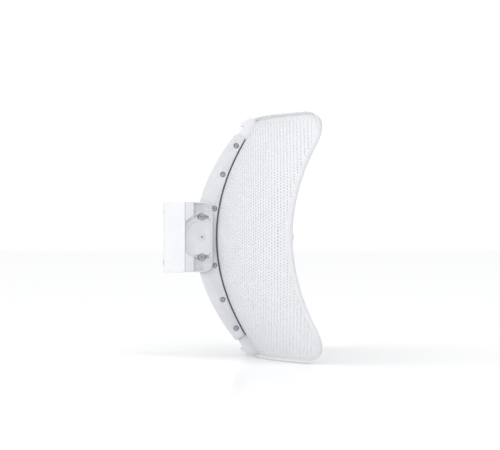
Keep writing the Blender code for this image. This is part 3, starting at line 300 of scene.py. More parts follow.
def soften(node, width, surface):
    """Stands a CAD node's own shape, with its edges rounded, in its place."""
    mesh = bmesh.new()
    mesh.from_mesh(frame["nodes"][node].data)
    bmesh.ops.remove_doubles(mesh, verts=mesh.verts, dist=MERGE_DISTANCE)
    bmesh.ops.dissolve_limit(
        mesh,
        angle_limit=FLAT_ANGLE,
        use_dissolve_boundaries=False,
        verts=mesh.verts,
        edges=mesh.edges,
    )
    made = from_bmesh(f"{node}_soft", mesh)
    modifier = made.modifiers.new("Bevel", "BEVEL")
    modifier.width = width
    modifier.segments = ROUND_SEGMENTS
    modifier.limit_method = "ANGLE"
    modifier.angle_limit = ROUND_ANGLE
    modifier.miter_outer = "MITER_ARC"
    bake(made)
    smooth(made, SHARP_SHEET)
    stand_in(made, node, surface)


# ---- Reflector wings ----


def dish_y(x, z):
    return VERTEX_Y + (x * x + z * z) / (4.0 * FOCAL_LENGTH)


def dish_normal(x, z):
    """Unit normal of the reflector towards its bowl."""
    return Vector((-x, 2.0 * FOCAL_LENGTH, -z)).normalized()


def spine_rear(z):
    slope = z / (2.0 * FOCAL_LENGTH)
    return dish_y(0.0, z) - FLANGE_DEPTH * math.sqrt(1.0 + slope * slope)


def edge_path():
    """(x, z) along the sheet's edge, from the spine at the bottom round to the spine at the top."""
    centre_x = EDGE_HALF_WIDTH - EDGE_CORNER
    centre_z = EDGE_HALF_HEIGHT - EDGE_CORNER
    along = round((centre_x - SEAM_X) / EDGE_STEP)
    path = [(x, -EDGE_HALF_HEIGHT) for x in spread(SEAM_X, centre_x, along + 1)[:-1]]
    turns = round(EDGE_CORNER * math.pi / 2 / EDGE_STEP)
    for a in spread(0.0, math.pi / 2, turns + 1):
        path.append((centre_x + EDGE_CORNER * math.sin(a), -centre_z - EDGE_CORNER * math.cos(a)))
    half_side = round(centre_z / EDGE_STEP)
    path += [(EDGE_HALF_WIDTH, z) for z in spread(-centre_z, 0.0, half_side + 1)[1:]]
    return path + [(x, -z) for x, z in reversed(path[:-1])]


def seam_heights():
    return spread(EDGE_HALF_HEIGHT, -EDGE_HALF_HEIGHT, 2 * round(EDGE_HALF_HEIGHT / EDGE_STEP) + 1)


def inside_blank_edge(x, z):
    """Whether a hole's centre clears the unpunched border."""
    if x < SEAM_X + BLANK_INNER or abs(z) > EDGE_HALF_HEIGHT - BLANK_ENDS:
        return False
    past_x = x - (EDGE_HALF_WIDTH - EDGE_CORNER)
    past_z = abs(z) - (EDGE_HALF_HEIGHT - EDGE_CORNER)
    if past_x > 0 and past_z > 0:
        return math.hypot(past_x, past_z) < EDGE_CORNER - BLANK_OUTER
    return past_x < EDGE_CORNER - BLANK_OUTER


def hole_centres():
    """(radius, angle) of each hole in one wing."""
    places = []
    ring = 0
    radius = RING_START
    while radius < math.hypot(EDGE_HALF_WIDTH, EDGE_HALF_HEIGHT):
        count = round(2 * math.pi * radius / HOLE_PITCH)
        for i in range(count):
            angle = 2 * math.pi * (i + 0.5 * (ring % 2)) / count
            x, z = radius * math.cos(angle), radius * math.sin(angle)
            if x > 0 and inside_blank_edge(x, z):
                places.append((radius, angle))
        ring += 1
        radius += RING_STEP
    return places


def hole_outline(radius, angle):
    """(x, z) round one hole: a circle in the sheet, narrower across the slope when seen in plan."""
    out = Vector((math.cos(angle), math.sin(angle)))
    along = Vector((-out.y, out.x))
    slope = radius / (2.0 * FOCAL_LENGTH)
    radial = HOLE_RADIUS / math.sqrt(1.0 + slope * slope)
    points = []
    for i in range(HOLE_SIDES):
        a = 2 * math.pi * i / HOLE_SIDES
        points.append(out * (radius + radial * math.cos(a)) + along * (HOLE_RADIUS * math.sin(a)))
    return [tuple(point) for point in points]


def add_punched(mesh, outline, holes, back, front, open_edges):
    """Adds a sheet with holes: two skins over a flat plan, and walls round its edge and in each hole.

    back and front turn a plan point into a place. The first open_edges edges of the outline get no
    wall. The holes' walls take the object's second material. Returns the two skins' outline vertices."""
    points, edges, loops, owner = [], [], [], []
    for number, loop in enumerate([outline] + holes):
        start = len(points)
        count = len(loop)
        points += [Vector(point) for point in loop]
        owner += [number] * count
        edges += [(start + i, start + (i + 1) % count) for i in range(count)]
        loops.append([start + i for i in range(count)])
    filled = delaunay_2d_cdt(points, edges, [], 0, TOUCHING)
    triangles, origins = filled[2], filled[3]
    back_rows = [mesh.verts.new(back(*point)) for point in points]
    front_rows = [mesh.verts.new(front(*point)) for point in points]
    for triangle in triangles:
        a, b, c = [origins[i][0] for i in triangle]
        in_hole = owner[a] == owner[b] == owner[c] > 0
        if in_hole or max(a, b, c) <= open_edges:
            continue
        mesh.faces.new((front_rows[a], front_rows[b], front_rows[c]))
        mesh.faces.new((back_rows[a], back_rows[c], back_rows[b]))
    for number, loop in enumerate(loops):
        for i, first in enumerate(loop):
            if number == 0 and i < open_edges:
                continue
            second = loop[(i + 1) % len(loop)]
            wall = mesh.faces.new(
                (back_rows[first], back_rows[second], front_rows[second], front_rows[first])
            )
            # Hole walls take the second material. On the wings this is a dark grey of painted shade.
            wall.material_index = 1 if number > 0 else 0
    return [back_rows[i] for i in loops[0]], [front_rows[i] for i in loops[0]]


def bridge(mesh, first, second, centre, steps):
    """Adds a rounded skin across a bend, from one row of vertices to another; returns all its rows."""
    rows = [first]
    for step in range(1, steps):
        turn = math.pi / 2 * step / steps
        row = []
        for a, b, c in zip(first, second, centre):
            place = c + (a.co - c) * math.cos(turn) + (b.co - c) * math.sin(turn)
            row.append(mesh.verts.new(place))
        rows.append(row)
    rows.append(second)
    for low, high in zip(rows, rows[1:]):
        for i in range(len(low) - 1):
            mesh.faces.new((low[i], low[i + 1], high[i + 1], high[i]))
    return rows


def sheet_back(x, z):
    return Vector((x, dish_y(x, z), z))


def sheet_front(x, z):
    return sheet_back(x, z) + dish_normal(x, z) * SHEET


def add_wing_sheet(mesh):
    """The pressed sheet, its bend and the flange behind it, as one skin."""
    heights = seam_heights()
    seam = [(SEAM_X, z) for z in heights]
    outline = seam + edge_path()[1:-1]
    holes = [hole_outline(*place) for place in hole_centres()]
    last = len(seam) - 1
    back, front = add_punched(mesh, outline, holes, sheet_back, sheet_front, last)

    bend = [dish_y(SEAM_X, z) - (SEAM_X - FLANGE_OUTER) for z in heights]
    rear = [(spine_rear(z), z) for z in reversed(heights)]
    plan = list(zip(bend, heights)) + rear
    screws = []
    for _, up in LEVELS:
        for y, z in SCREW_PLACES:
            ring = circle(SCREW_HOLE, 0.0, SCREW_HOLE_SIDES)
            screws.append([(y + point.x, up * z + point.y) for point in ring])
    outer, inner = add_punched(
        mesh,
        plan,
        screws,
        lambda y, z: Vector((FLANGE_OUTER, y, z)),
        lambda y, z: Vector((FLANGE_INNER, y, z)),
        last,
    )
    centre = [Vector((SEAM_X, y, z)) for y, z in zip(bend, heights)]
    count = last + 1
    front_bend = bridge(mesh, front[:count], inner[:count], centre, FRONT_BEND_STEPS)
    back_bend = bridge(mesh, back[:count], outer[:count], centre, BACK_BEND_STEPS)
    for end in (0, -1):
        mesh.faces.new([row[end] for row in front_bend] + [row[end] for row in reversed(back_bend)])


def add_lip(mesh):
    """The lip round the sheet's edge: a thin wall square to the sheet, mostly behind it."""
    path = edge_path()
    path = [(FLANGE_INNER, path[0][1])] + path[1:-1] + [(FLANGE_INNER, path[-1][1])]
    points = [sheet_back(x, z) + dish_normal(x, z) * (SHEET / 2) for x, z in path]
    last = len(points) - 1
    rows = []
    for i, point in enumerate(points):
        along = points[min(i + 1, last)] - points[max(i - 1, 0)]
        if i in (0, last):
            along = Vector((1.0 if i == 0 else -1.0, 0.0, 0.0))
        back = -dish_normal(point.x, point.z)
        across = along.cross(back).normalized()
        back = across.cross(along).normalized()
        row = []
        for k in range(LIP_SIDES):
            turn = 2 * math.pi * (k + 0.5) / LIP_SIDES
            depth = LIP_DEPTH if math.sin(turn) > 0 else -LIP_PROUD
            place = across * (LIP_RADIUS * math.cos(turn)) + back * (LIP_RADIUS * math.sin(turn) + depth)
            row.append(mesh.verts.new(point + place))
        rows.append(row)
    mesh.faces.new(rows[0])
    mesh.faces.new(rows[-1])
    for first, second in zip(rows, rows[1:]):
        for i in range(LIP_SIDES):
            j = (i + 1) % LIP_SIDES
            mesh.faces.new((first[i], first[j], second[j], second[i]))


def make_wing_mesh():
    mesh = bmesh.new()
    add_wing_sheet(mesh)
    add_lip(mesh)
    bmesh.ops.recalc_face_normals(mesh, faces=mesh.faces)
    return from_bmesh("wing_sheet", mesh)


def make_wings(surface, punched):
    """Both wings, the left one a mirror image of the right."""
    right = make_wing_mesh()
    smooth(right, SHARP_SHEET)
    left = new_object("wing_sheet_left", right.data.copy())
    left.data.transform(Matrix.Scale(-1, 4, (1, 0, 0)))
    left.data.flip_normals()
    right.name = "wing_sheet_right"
    stand_in(right, "reflector_right", surface)
    stand_in(left, "reflector_left", surface)
    # The second material goes on the holes' walls: a dark grey of painted shade.
    right.data.materials.append(punched)
    left.data.materials.append(punched)


# ---- Fasteners, each built along local Z with its head above z = 0 and its shank below ----


def hexagon(flats, height, limit=1.0):
    """A ring of points on a hexagon round the local Z axis, none further out than limit."""
    points = []
    for i in range(HEX_SIDES):
        angle = i * 2 * math.pi / HEX_SIDES
        from_flat = (angle % (math.pi / 3)) - math.pi / 6
        reach = min(flats / 2 / math.cos(from_flat), limit)
        points.append(Vector((reach * math.cos(angle), reach * math.sin(angle), height)))
    return points


def cross_outline(reach, blade, height):
    """A cross of four blades, as a ring of points."""
    quarter = [(blade, blade), (blade, reach), (-blade, reach)]
    points = []
    for i in range(4):
        turn = Matrix.Rotation(i * math.pi / 2, 2)
        points += [turn @ Vector(corner) for corner in quarter]
    return [Vector((point.x, point.y, height)) for point in points]


def cross_cutter(reach, blade, bottom, top):
    """A tapered cross, for a driver recess."""
    depth = top - bottom
    rings = []
    for wide, thick, up in CROSS_TAPER:
        rings.append(cross_outline(reach * wide, blade * thick, bottom + depth * up))
    return loft("recess", rings)


def shank_rings(radius, length, thread, sides):
    """Rings up a shank from its chamfered tip, the last stretch of it threaded."""
    rings = [circle(radius - TIP_CHAMFER, -length, sides)]
    steps = round(thread / M6_PITCH * THREAD_STEPS)
    for step in range(steps + 1):
        height = -length + TIP_CHAMFER + step * M6_PITCH / THREAD_STEPS
        ring = []
        for i, point in enumerate(circle(1.0, height, sides)):
            phase = (height / M6_PITCH + i / sides) % 1.0
            fade = min(1.0, step / THREAD_STEPS, (steps - step) / THREAD_STEPS)
            reach = radius - THREAD_DEPTH * fade * abs(2.0 * phase - 1.0)
            ring.append(Vector((point.x * reach, point.y * reach, height)))
        rings.append(ring)
    return rings + [circle(radius, -HEAD_FILLET, sides)]


def hex_head_rings(height):
    """Rings up a hexagon head with its corners chamfered round."""
    corner = M6_FLATS / 2 / math.cos(math.pi / 6)
    rings = [hexagon(M6_FLATS, height - M6_SIDE_END)]
    for below, reach in M6_CHAMFER:
        rings.append(hexagon(M6_FLATS, height - below, corner * reach))
    return rings + [circle(M6_FLATS * M6_FACE, height, HEX_SIDES)]


def flange_rings():
    """Rings of the round flange under a head or nut, coned up to the hexagon."""
    rings = [circle(M6_FLANGE_RADIUS + out, height, HEX_SIDES) for height, out in M6_FLANGE_RIM]
    return rings + [hexagon(M6_FLATS, M6_FLANGE_TOP)]


def hex_bolt(name, length, thread, flanged):
    """A hexagon bolt; a flanged one has a cross recess as well."""
    rings = shank_rings(M6_RADIUS, length, thread, HEX_SIDES)
    rings += flange_rings() if flanged else [hexagon(M6_FLATS * 0.97, 0.0), hexagon(M6_FLATS, 0.0002)]
    bolt = loft(name, rings + hex_head_rings(M6_HEAD_HEIGHT))
    if flanged:
        reach, blade, depth = M6_RECESS
        cut(bolt, cross_cutter(reach, blade, M6_HEAD_HEIGHT - depth, M6_HEAD_HEIGHT + 0.0003))
    smooth(bolt, SHARP_FASTENER)
    return bolt


def hex_nut(name, flanged):
    """A hexagon nut with a chamfered bore, flanged or plain below."""
    top = M6_NUT_HEIGHT
    out, deep = BORE_CHAMFER
    bore = [(M6_NUT_BORE + out, top), (M6_NUT_BORE, top - deep)]
    bore += [(M6_NUT_BORE, deep), (M6_NUT_BORE + out, 0.0)]
    rings = [circle(radius, height, HEX_SIDES) for radius, height in bore]
    rings += flange_rings() if flanged else [hexagon(M6_FLATS, 0.0, 0.0052), hexagon(M6_FLATS, 0.0006)]
    nut = loft(name, rings + hex_head_rings(top), closed=True)
    smooth(nut, SHARP_FASTENER)
    return nut


def pan_screw(name, shank, length, head, height):
    """A pan-head screw with a cross recess."""
    profile = [(shank * 0.7, -length), (shank, -length + shank * 0.4), (shank, 0.0)]
    side_end = height * PAN_UPRIGHT
    profile += [(head - 0.0001, 0.0), (head, 0.0001), (head, side_end)]
    for a in spread(0.15, math.pi / 2 - 0.12, 7):
        profile.append((head * math.cos(a), side_end + (height - side_end) * math.sin(a)))
    screw = turned(name, profile, PAN_SIDES)
    reach, blade = PAN_RECESS
    cut(screw, cross_cutter(head * reach, head * blade, side_end, height + 0.0002))
    smooth(screw, SHARP_FASTENER)
    return screw


def place_fasteners(prototype, nodes, height, surface, spin=0.0):
    """One copy of a fastener for each (node, heading): its head's top where the node's is.

    Each copy is turned about its own axis by spin more than the last."""
    for number, (node, heading) in enumerate(nodes):
        low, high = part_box(node)
        heading = Vector(heading)
        middle = (low + high) / 2
        reach = (high - low) / 2
        top = middle + heading * abs(heading.dot(reach)) - heading * height
        turn = heading.to_track_quat("Z", "Y").to_matrix().to_4x4()
        twist = Matrix.Rotation(spin * number, 4, "Z")
        data = prototype.data.copy()
        data.transform(Matrix.Translation(top) @ turn @ twist)
        stand_in(new_object(f"{node}_fine", data), node, surface)
    bpy.data.objects.remove(prototype)


def make_fasteners(surface, screw_surface):
    clamp_bolts, clamp_nuts, spine_screws = [], [], []
    for side, sign in SIDES:
        for level, _ in LEVELS:
            clamp_bolts.append((f"clamp_bolt_{level}_{side}", (0, -1, 0)))
            clamp_nuts.append((f"clamp_nut_{level}_{side}", (0, 1, 0)))
            spine_screws += [(f"spine_screw_{level}_{side}_{i}", (sign, 0, 0)) for i in (1, 2, 3)]
    tilt_bolts = [(f"tilt_bolt_{level}", (1, 0, 0)) for level, _ in LEVELS]
    tilt_nuts = [(f"tilt_nut_{level}", (-1, 0, 0)) for level, _ in LEVELS]
    housing_screws = [(f"housing_screw_{level}", (0, 0, up)) for level, up in LEVELS]
    low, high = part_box("clamp_bolt_upper_right")
    clamp_length = high.y - low.y - M6_HEAD_HEIGHT
    low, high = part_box("tilt_bolt_upper")
    tilt_length = high.x - low.x - M6_HEAD_HEIGHT

    bolt = hex_bolt("clamp_bolt", clamp_length, CLAMP_THREAD, False)
    place_fasteners(bolt, clamp_bolts, M6_HEAD_HEIGHT, surface)
    place_fasteners(hex_nut("clamp_nut", False), clamp_nuts, M6_NUT_HEIGHT, surface)
    bolt = hex_bolt("tilt_bolt", tilt_length, TILT_THREAD, True)
    place_fasteners(bolt, tilt_bolts, M6_HEAD_HEIGHT, surface)
    place_fasteners(hex_nut("tilt_nut", True), tilt_nuts, M6_NUT_HEIGHT, surface)
    screw = pan_screw("spine_screw", *M5_HEAD)
    place_fasteners(screw, spine_screws, M5_HEAD[3], screw_surface, SCREW_SPIN)
    screw = pan_screw("housing_screw", *M3_HEAD)
    place_fasteners(screw, housing_screws, M3_HEAD[3], screw_surface)


# ---- Feed ----


def on_boresight(made):
    """Turns a piece built about local Z so that its axis is the boresight."""
    made.data.transform(Matrix.Rotation(-math.pi / 2, 4, "X"))
    return made


def upright(name, radius, y, start, end):
    """A round cutter along Z at a place on the boresight."""
    made = turned(name, [(radius, start), (radius, end)], CUTTER_SIDES)
    made.data.transform(Matrix.Translation((0.0, y, 0.0)))
    return made


def rounded_slot(half_width, half_length, y, start, end):
    """A cutter along Z with a round-ended outline, long along Y."""
    outline = []
    straight = half_length - half_width
    for a in spread(0.0, math.pi, 9):
        outline.append((half_width * math.cos(a), y + straight + half_width * math.sin(a)))
    for a in spread(math.pi, 2 * math.pi, 9):
        outline.append((half_width * math.cos(a), y - straight + half_width * math.sin(a)))
    return loft("slot", [[Vector((x, w, z)) for x, w in outline] for z in (start, end)])


def make_housing(surface):
    """The radio's round shell: a thicker foot, a soft step, a parting groove near its front."""
    foot = FEED_RADIUS + FOOT_PROUD
    groove = HOUSING_FRONT - GROOVE_BACK
    inner = FEED_RADIUS - FEED_WALL
    profile = [(inner, HOUSING_REAR), (foot - FEED_CHAMFER, HOUSING_REAR)]
    profile.append((foot, HOUSING_REAR + FEED_CHAMFER))
    for t in spread(0.0, 1.0, 7):
        drop = FOOT_PROUD * (3 * t * t - 2 * t * t * t)
        profile.append((foot - drop, HOUSING_REAR + FOOT_LENGTH + FOOT_STEP * t))
    profile += [(FEED_RADIUS - deep, groove + along) for along, deep in GROOVE]
    profile.append((FEED_RADIUS, HOUSING_FRONT - FEED_CHAMFER))
    profile += [(FEED_RADIUS - FEED_CHAMFER, HOUSING_FRONT), (inner, HOUSING_FRONT)]
    housing = on_boresight(turned("feed_housing_fine", profile, FEED_SIDES, closed=True))
    seat = FEED_RADIUS - M3_HEAD[3] / 2
    for _, up in LEVELS:
        inside, outside = up * WALL_INSIDE, up * WALL_OUTSIDE
        cut(housing, upright("hole", FEED_SCREW_HOLE, FEED_SCREW_Y, inside, outside))
        cut(housing, upright("spot", M3_HEAD[2] + HEAD_GAP, FEED_SCREW_Y, up * seat, outside))
    cut(housing, upright("button_way", BUTTON_HOLE, BUTTON_Y, -WALL_OUTSIDE, -WALL_INSIDE))
    cut(housing, rounded_slot(*LENS_HOLE, LENS_Y, -WALL_OUTSIDE, -WALL_INSIDE))
    smooth(housing, SHARP_FEED)
    stand_in(housing, "feed_housing", surface)


def make_nose(surface):
    """The domed radome, with a shallow groove behind the dome."""
    inner = FEED_RADIUS - FEED_WALL
    centre = NOSE_TIP - FEED_RADIUS
    profile = [(inner, NOSE_REAR), (FEED_RADIUS - FEED_CHAMFER, NOSE_REAR)]
    profile.append((FEED_RADIUS, NOSE_REAR + FEED_CHAMFER))
    profile += [(FEED_RADIUS - deep, centre - behind) for behind, deep in NOSE_GROOVE]
    for a in spread(0.02, 1.5, 22):
        profile.append((FEED_RADIUS * math.cos(a), centre + FEED_RADIUS * math.sin(a)))
    tip = [(NOSE_PINHOLE, NOSE_TIP), (NOSE_PINHOLE, NOSE_TIP - FEED_WALL)]
    inside = [(inner * math.cos(a), centre + inner * math.sin(a)) for a in spread(1.5, 0.0, 14)]
    nose = on_boresight(turned("feed_nose_fine", profile + tip + inside, FEED_SIDES, closed=True))
    smooth(nose, SHARP_FEED)
    stand_in(nose, "feed_nose", surface)


def make_collar(surface):
    """The flared ring between the reflector's face and the feed, its rear edge fitted to the dish.

    rear is (radius, lift over the seat), front is (radius, y)."""
    neck = COLLAR_INNER + COLLAR_NECK
    rear = [(COLLAR_INNER, COLLAR_FOOT)]
    rear += [(COLLAR_RADIUS - inward, lift) for inward, lift in COLLAR_RIM]
    inward, lift, rise = COLLAR_FLARE
    for t in spread(0.0, 1.0, 8):
        rear.append((neck + (COLLAR_RADIUS - inward - neck) * (1 - t), lift + rise * t * t))
    front = [(COLLAR_INNER + outward, COLLAR_FRONT - back) for outward, back in COLLAR_MOUTH]
    rings = []
    for radius, lift in rear:
        ring = []
        for point in circle(radius, 0.0, FEED_SIDES):
            y = lift + dish_y(point.x, point.y) + COLLAR_SEAT
            ring.append(Vector((point.x, min(y, COLLAR_FRONT), point.y)))
        rings.append(ring)
    for radius, y in front:
        rings.append([Vector((point.x, y, point.y)) for point in circle(radius, 0.0, FEED_SIDES)])
    collar = loft("feed_collar_fine", rings, closed=True)
    smooth(collar, SHARP_COLLAR)
    stand_in(collar, "feed_collar", surface)


# ---- Scene ----


def make_camera():
    """The photograph's view: from the +X side, level."""
    camera = bpy.data.cameras.new("camera")
    camera.lens = CAMERA_LENS
    camera.sensor_width = CAMERA_SENSOR
    camera.shift_x, camera.shift_y = CAMERA_SHIFT
    camera.clip_end = CAMERA_RANGE
    made = new_object("camera", camera)
    made.location = CAMERA_PLACE
    made.rotation_euler = (math.pi / 2, 0.0, math.pi / 2)
    bpy.context.scene.camera = made


def make_front_light():
    """A large soft light on the camera's side, kept out of reflections."""
    data = bpy.data.lights.new("front", "AREA")
    data.shape = "DISK"
    data.size = FRONT_LIGHT_SIZE
    data.energy = FRONT_LIGHT_POWER
    data.color = FRONT_LIGHT_COLOUR
    made = new_object("front", data)
    made.location = FRONT_LIGHT_PLACE
    heading = Vector(FRONT_LIGHT_TARGET) - Vector(FRONT_LIGHT_PLACE)
    made.rotation_euler = heading.to_track_quat("-Z", "Y").to_euler()
    made.visible_glossy = False


def ray_choice(tree, path, ray, source):
    """A mix that gives source's value to rays of one kind, and its input A to all the others."""
    choice = tree.nodes.new("ShaderNodeMix")
    tree.links.new(path.outputs[ray], choice.inputs["Factor"])
    tree.links.new(source.outputs[0], choice.inputs["B"])
    return choice


def make_world():
    """A white studio: even to the camera, banded in reflections, and brighter behind as light."""
    world = bpy.data.worlds.new("studio")
    world.use_nodes = True
    tree = world.node_tree
    background = tree.nodes["Background"]
    background.inputs["Color"].default_value = WORLD_COLOUR
    coords = tree.nodes.new("ShaderNodeTexCoord")
    path = tree.nodes.new("ShaderNodeLightPath")

    lean = tree.nodes.new("ShaderNodeVectorMath")
    lean.operation = "DOT_PRODUCT"
    lean.inputs[1].default_value = WORLD_LEAN
    tree.links.new(coords.outputs["Generated"], lean.inputs[0])
    light = tree.nodes.new("ShaderNodeMath")
    light.inputs[1].default_value = WORLD_LIGHT
    tree.links.new(lean.outputs["Value"], light.inputs[0])

    split = tree.nodes.new("ShaderNodeSeparateXYZ")
    tree.links.new(coords.outputs["Generated"], split.inputs["Vector"])
    square = tree.nodes.new("ShaderNodeMath")
    square.operation = "MULTIPLY"
    tree.links.new(split.outputs["X"], square.inputs[0])
    tree.links.new(split.outputs["X"], square.inputs[1])
    mirrored = tree.nodes.new("ShaderNodeMapRange")
    mirrored.inputs["To Min"].default_value = WORLD_SIDES
    mirrored.inputs["To Max"].default_value = WORLD_SEEN
    tree.links.new(square.outputs["Value"], mirrored.inputs["Value"])

    glossy = ray_choice(tree, path, "Is Glossy Ray", mirrored)
    glossy.inputs["A"].default_value = WORLD_SEEN
    diffuse = ray_choice(tree, path, "Is Diffuse Ray", light)
    tree.links.new(glossy.outputs["Result"], diffuse.inputs["A"])
    tree.links.new(diffuse.outputs["Result"], background.inputs["Strength"])
    bpy.context.scene.world = world


def make_sun():
    data = bpy.data.lights.new("sun", "SUN")
    data.energy = SUN_STRENGTH
    data.angle = SUN_WIDTH
    data.color = SUN_COLOUR
    made = new_object("sun", data)
    made.rotation_euler = Vector(SUN_HEADING).to_track_quat("-Z", "Y").to_euler()


def make_floor(surface):
    mesh = bmesh.new()
    height = cad_box[0][2] - FLOOR_GAP
    mesh.faces.new([mesh.verts.new(point) for point in circle(FLOOR_RADIUS, height, FLOOR_SIDES)])
    floor = from_bmesh("floor", mesh)
    floor.data.materials.append(surface)


# ---- Materials ----


def new_material(name, colour, roughness, metallic=0.0):
    made = bpy.data.materials.new(name)
    made.use_nodes = True
    shader = made.node_tree.nodes["Principled BSDF"]
    shader.inputs["Base Color"].default_value = (*colour, 1.0)
    shader.inputs["Roughness"].default_value = roughness
    shader.inputs["Metallic"].default_value = metallic
    return made


def add_node(made, kind, **values):
    node = made.node_tree.nodes.new(kind)
    for name, value in values.items():
        node.inputs[name.replace("_", " ")].default_value = value
    return node


def link(made, source, output, target, socket):
    made.node_tree.links.new(source.outputs[output], target.inputs[socket])


def noise(made, scale, detail=2.0, roughness=0.5):
    """A noise texture in the object's own space."""
    coords = made.node_tree.nodes.new("ShaderNodeTexCoord")
    node = add_node(made, "ShaderNodeTexNoise", Scale=scale, Detail=detail, Roughness=roughness)
    link(made, coords, "Object", node, "Vector")
    return node


def ramp(made, source, output, low, high, start=0.3, end=0.7):
    """Turns a texture into a colour between two close ones."""
    node = made.node_tree.nodes.new("ShaderNodeValToRGB")
    node.color_ramp.elements[0].position = start
    node.color_ramp.elements[0].color = (*low, 1.0)
    node.color_ramp.elements[1].position = end
    node.color_ramp.elements[1].color = (*high, 1.0)
    link(made, source, output, node, "Fac")
    return node


def span(made, source, output, low, high):
    """Maps a texture's 0 to 1 on to a range of values."""
    node = add_node(made, "ShaderNodeMapRange", To_Min=low, To_Max=high)
    link(made, source, output, node, "Value")
    return node


def bump(made, source, output, strength, distance):
    """Adds a texture's bumps on top of those the surface has already."""
    node = add_node(made, "ShaderNodeBump", Strength=strength, Distance=distance)
    link(made, source, output, node, "Height")
    shader = made.node_tree.nodes["Principled BSDF"]
    old = shader.inputs["Normal"].links
    if old:
        made.node_tree.links.new(old[0].from_socket, node.inputs["Normal"])
    link(made, node, "Normal", shader, "Normal")


def textured(name, low, high, roughness, grain, fine, depth, metallic=0.0, mottle=60.0):
    """A surface with slow changes of shade, uneven gloss, and two sizes of bump.

    low and high are the two shades, roughness its range, grain and fine the bumps per metre."""
    made = new_material(name, high, roughness[0], metallic)
    shader = made.node_tree.nodes["Principled BSDF"]
    slow = noise(made, mottle, 4.0)
    shade = ramp(made, slow, "Fac", low, high)
    link(made, shade, "Color", shader, "Base Color")
    patches = noise(made, mottle * 4.0, 3.0)
    gloss = span(made, patches, "Fac", *roughness)
    link(made, gloss, "Result", shader, "Roughness")
    bump(made, noise(made, grain, 2.0), "Fac", COARSE_BUMP, depth)
    bump(made, noise(made, fine, 1.0), "Fac", FINE_BUMP, depth * FINE_DEPTH)
    return made


def make_lens_material():
    low, high = (0.50, 0.62, 0.78), (0.58, 0.70, 0.84)
    made = textured("light_lens", low, high, (0.08, 0.16), *CLEAR_PLASTIC, 0.00001)
    shader = made.node_tree.nodes["Principled BSDF"]
    shader.inputs["Transmission Weight"].default_value = 0.55
    shader.inputs["IOR"].default_value = 1.49
    return made


def make_board_material():
    """Green solder mask with paler tracks under it and a fine weave."""
    made = new_material("circuit_board", (0.02, 0.16, 0.07), 0.35)
    shader = made.node_tree.nodes["Principled BSDF"]
    coords = made.node_tree.nodes.new("ShaderNodeTexCoord")
    tracks = add_node(made, "ShaderNodeTexBrick", Scale=260.0, Mortar_Size=0.09)
    tracks.inputs["Color1"].default_value = (0.012, 0.105, 0.045, 1.0)
    tracks.inputs["Color2"].default_value = (0.016, 0.125, 0.055, 1.0)
    tracks.inputs["Mortar"].default_value = (0.05, 0.24, 0.10, 1.0)
    link(made, coords, "Object", tracks, "Vector")
    link(made, tracks, "Color", shader, "Base Color")
    bump(made, tracks, "Fac", 0.3, 0.00003)
    bump(made, noise(made, 5200, 1.0), "Fac", 0.2, 0.00001)
    return made


def make_materials():
    sheet_low, sheet_high = (0.735, 0.742, 0.762), (0.765, 0.772, 0.79)
    # Dark grey for the holes' walls: painted shade that darkens each hole as the shade inside it would
    hole_shade_low, hole_shade_high = (0.24, 0.245, 0.26), (0.30, 0.305, 0.32)
    grey_low, grey_high = (0.655, 0.665, 0.69), (0.69, 0.698, 0.72)
    white_low, white_high = (0.785, 0.79, 0.81), (0.81, 0.815, 0.83)
    radome_low, radome_high = (0.84, 0.84, 0.85), (0.86, 0.86, 0.865)
    zinc_low, zinc_high = (0.36, 0.37, 0.41), (0.50, 0.51, 0.55)
    bright_low, bright_high = (0.44, 0.45, 0.48), (0.54, 0.55, 0.58)
    rubber_low, rubber_high = (0.018, 0.018, 0.018), (0.03, 0.03, 0.03)
    # The grey_rubber strip between the side plates and the reflector is dark grey as painted shade: it
    # stands for the shadow gap there.
    gap_shade_low, gap_shade_high = (0.18, 0.19, 0.22), (0.21, 0.22, 0.25)
    tin_low, tin_high = (0.60, 0.61, 0.62), (0.68, 0.69, 0.70)
    copper_low, copper_high = (0.64, 0.31, 0.18), (0.76, 0.41, 0.25)
    jack_low, jack_high = (0.03, 0.03, 0.034), (0.05, 0.05, 0.055)
    plated = {"metallic": 1.0, "mottle": 220.0}
    rolled = {"metallic": 1.0, "mottle": 160.0}
    return {
        "sheet": textured(
            "powder_coated_sheet", sheet_low, sheet_high, (0.34, 0.48), *COATED, 0.00006
        ),
        # Painted shade: the holes' walls are dark grey so that the holes read dark.
        "punched": textured(
            "painted_hole_shade", hole_shade_low, hole_shade_high, (0.45, 0.6), *BARE_METAL, 0.00002
        ),
        "cover": textured("moulded_grey", grey_low, grey_high, (0.34, 0.46), *MOULDED, 0.00003),
        "jaw": textured("moulded_white", white_low, white_high, (0.30, 0.42), *MOULDED, 0.00003),
        "radome": textured(
            "radome_white", radome_low, radome_high, (0.24, 0.34), *MOULDED, 0.00002
        ),
        "zinc": textured(
            "zinc_steel", zinc_low, zinc_high, (0.26, 0.44), *BARE_METAL, 0.00002, **plated
        ),
        "bright_zinc": textured(
            "bright_zinc", bright_low, bright_high, (0.16, 0.28), *BARE_METAL, 0.00001, **plated
        ),
        "rubber": textured(
            "black_rubber", rubber_low, rubber_high, (0.7, 0.85), *MOULDED, 0.00004
        ),
        # Painted shade: a dark strip in place of the shadow gap along the side plates' front edges.
        "gap_shade": textured("grey_rubber", gap_shade_low, gap_shade_high, (0.7, 0.85), *MOULDED, 0.00004),
        "tinplate": textured(
            "tinplate", tin_low, tin_high, (0.22, 0.36), *ROLLED_METAL, 0.00001, **rolled
        ),
        "copper": textured(
            "copper", copper_low, copper_high, (0.22, 0.38), *ROLLED_METAL, 0.00001, **rolled
        ),
        "jack_plastic": textured(
            "jack_plastic", jack_low, jack_high, (0.35, 0.5), *MOULDED, 0.00003
        ),
        "board": make_board_material(),
        "lens": make_lens_material(),
        "floor": make_floor_material(),
    }


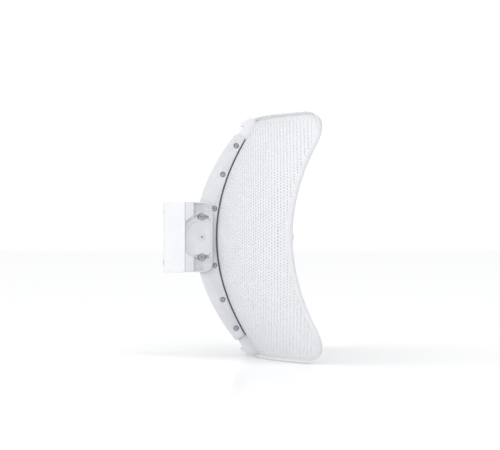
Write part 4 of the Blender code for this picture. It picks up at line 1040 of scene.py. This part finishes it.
def make_floor_material():
    """Plain pale card with a faint, even mirror sheen."""
    made = new_material("floor", (FLOOR_SHADE, FLOOR_SHADE, FLOOR_SHADE), FLOOR_ROUGHNESS)
    shader = made.node_tree.nodes["Principled BSDF"]
    shader.inputs["Specular IOR Level"].default_value = 0.0
    white = (1.0, 1.0, 1.0, 1.0)
    sheen = add_node(made, "ShaderNodeBsdfGlossy", Color=white, Roughness=SHEEN_ROUGHNESS)
    mix = add_node(made, "ShaderNodeMixShader", Fac=FLOOR_SHEEN)
    made.node_tree.links.new(shader.outputs["BSDF"], mix.inputs[1])
    made.node_tree.links.new(sheen.outputs["BSDF"], mix.inputs[2])
    link(made, mix, "Shader", made.node_tree.nodes["Material Output"], "Surface")
    return made


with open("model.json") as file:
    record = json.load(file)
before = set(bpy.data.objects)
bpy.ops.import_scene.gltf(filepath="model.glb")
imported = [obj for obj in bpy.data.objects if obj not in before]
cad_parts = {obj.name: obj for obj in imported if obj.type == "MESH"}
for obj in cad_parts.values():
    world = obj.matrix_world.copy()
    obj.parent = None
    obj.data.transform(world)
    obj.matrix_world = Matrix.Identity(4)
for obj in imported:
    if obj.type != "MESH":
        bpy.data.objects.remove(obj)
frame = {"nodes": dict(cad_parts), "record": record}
cad_box = [list(corner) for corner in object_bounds()]
body_of = {
    node: body for body, nodes in frame["record"]["behaviour"]["bodies"].items() for node in nodes
}

make_camera()
surfaces = make_materials()
make_wings(surfaces["sheet"], surfaces["punched"])
soften("pole_yoke", YOKE_ROUND, surfaces["cover"])
for side, _ in SIDES:
    soften(f"side_plate_{side}", PLATE_ROUND, surfaces["cover"])
make_fasteners(surfaces["zinc"], surfaces["bright_zinc"])
make_housing(surfaces["radome"])
make_nose(surfaces["radome"])
make_collar(surfaces["jaw"])
for name in ("feed_base", "port_door", "reset_button"):
    soften(name, SMALL_ROUND, surfaces["jaw"])
for name in ("pivot_pin_right", "pivot_pin_left"):
    soften(name, SMALL_ROUND, surfaces["cover"])
kept = {
    "moulded_white": "jaw",
    "black_rubber": "rubber",
    # Painted shade: the dark strip stands for the shadow gap beside the side plates.
    "grey_rubber": "gap_shade",
    "zinc_steel": "zinc",
    "circuit_board": "board",
    "tinplate": "tinplate",
    "copper": "copper",
    "jack_plastic": "jack_plastic",
    "light_lens": "lens",
}
for name, node in frame["nodes"].items():
    finish = node.data.materials[0].name.split(".")[0]
    if finish in kept:
        node.data.materials[0] = surfaces[kept[finish]]

bpy.context.scene.view_settings.view_transform = "Standard"
make_world()
make_sun()
make_floor(surfaces["floor"])
make_front_light()
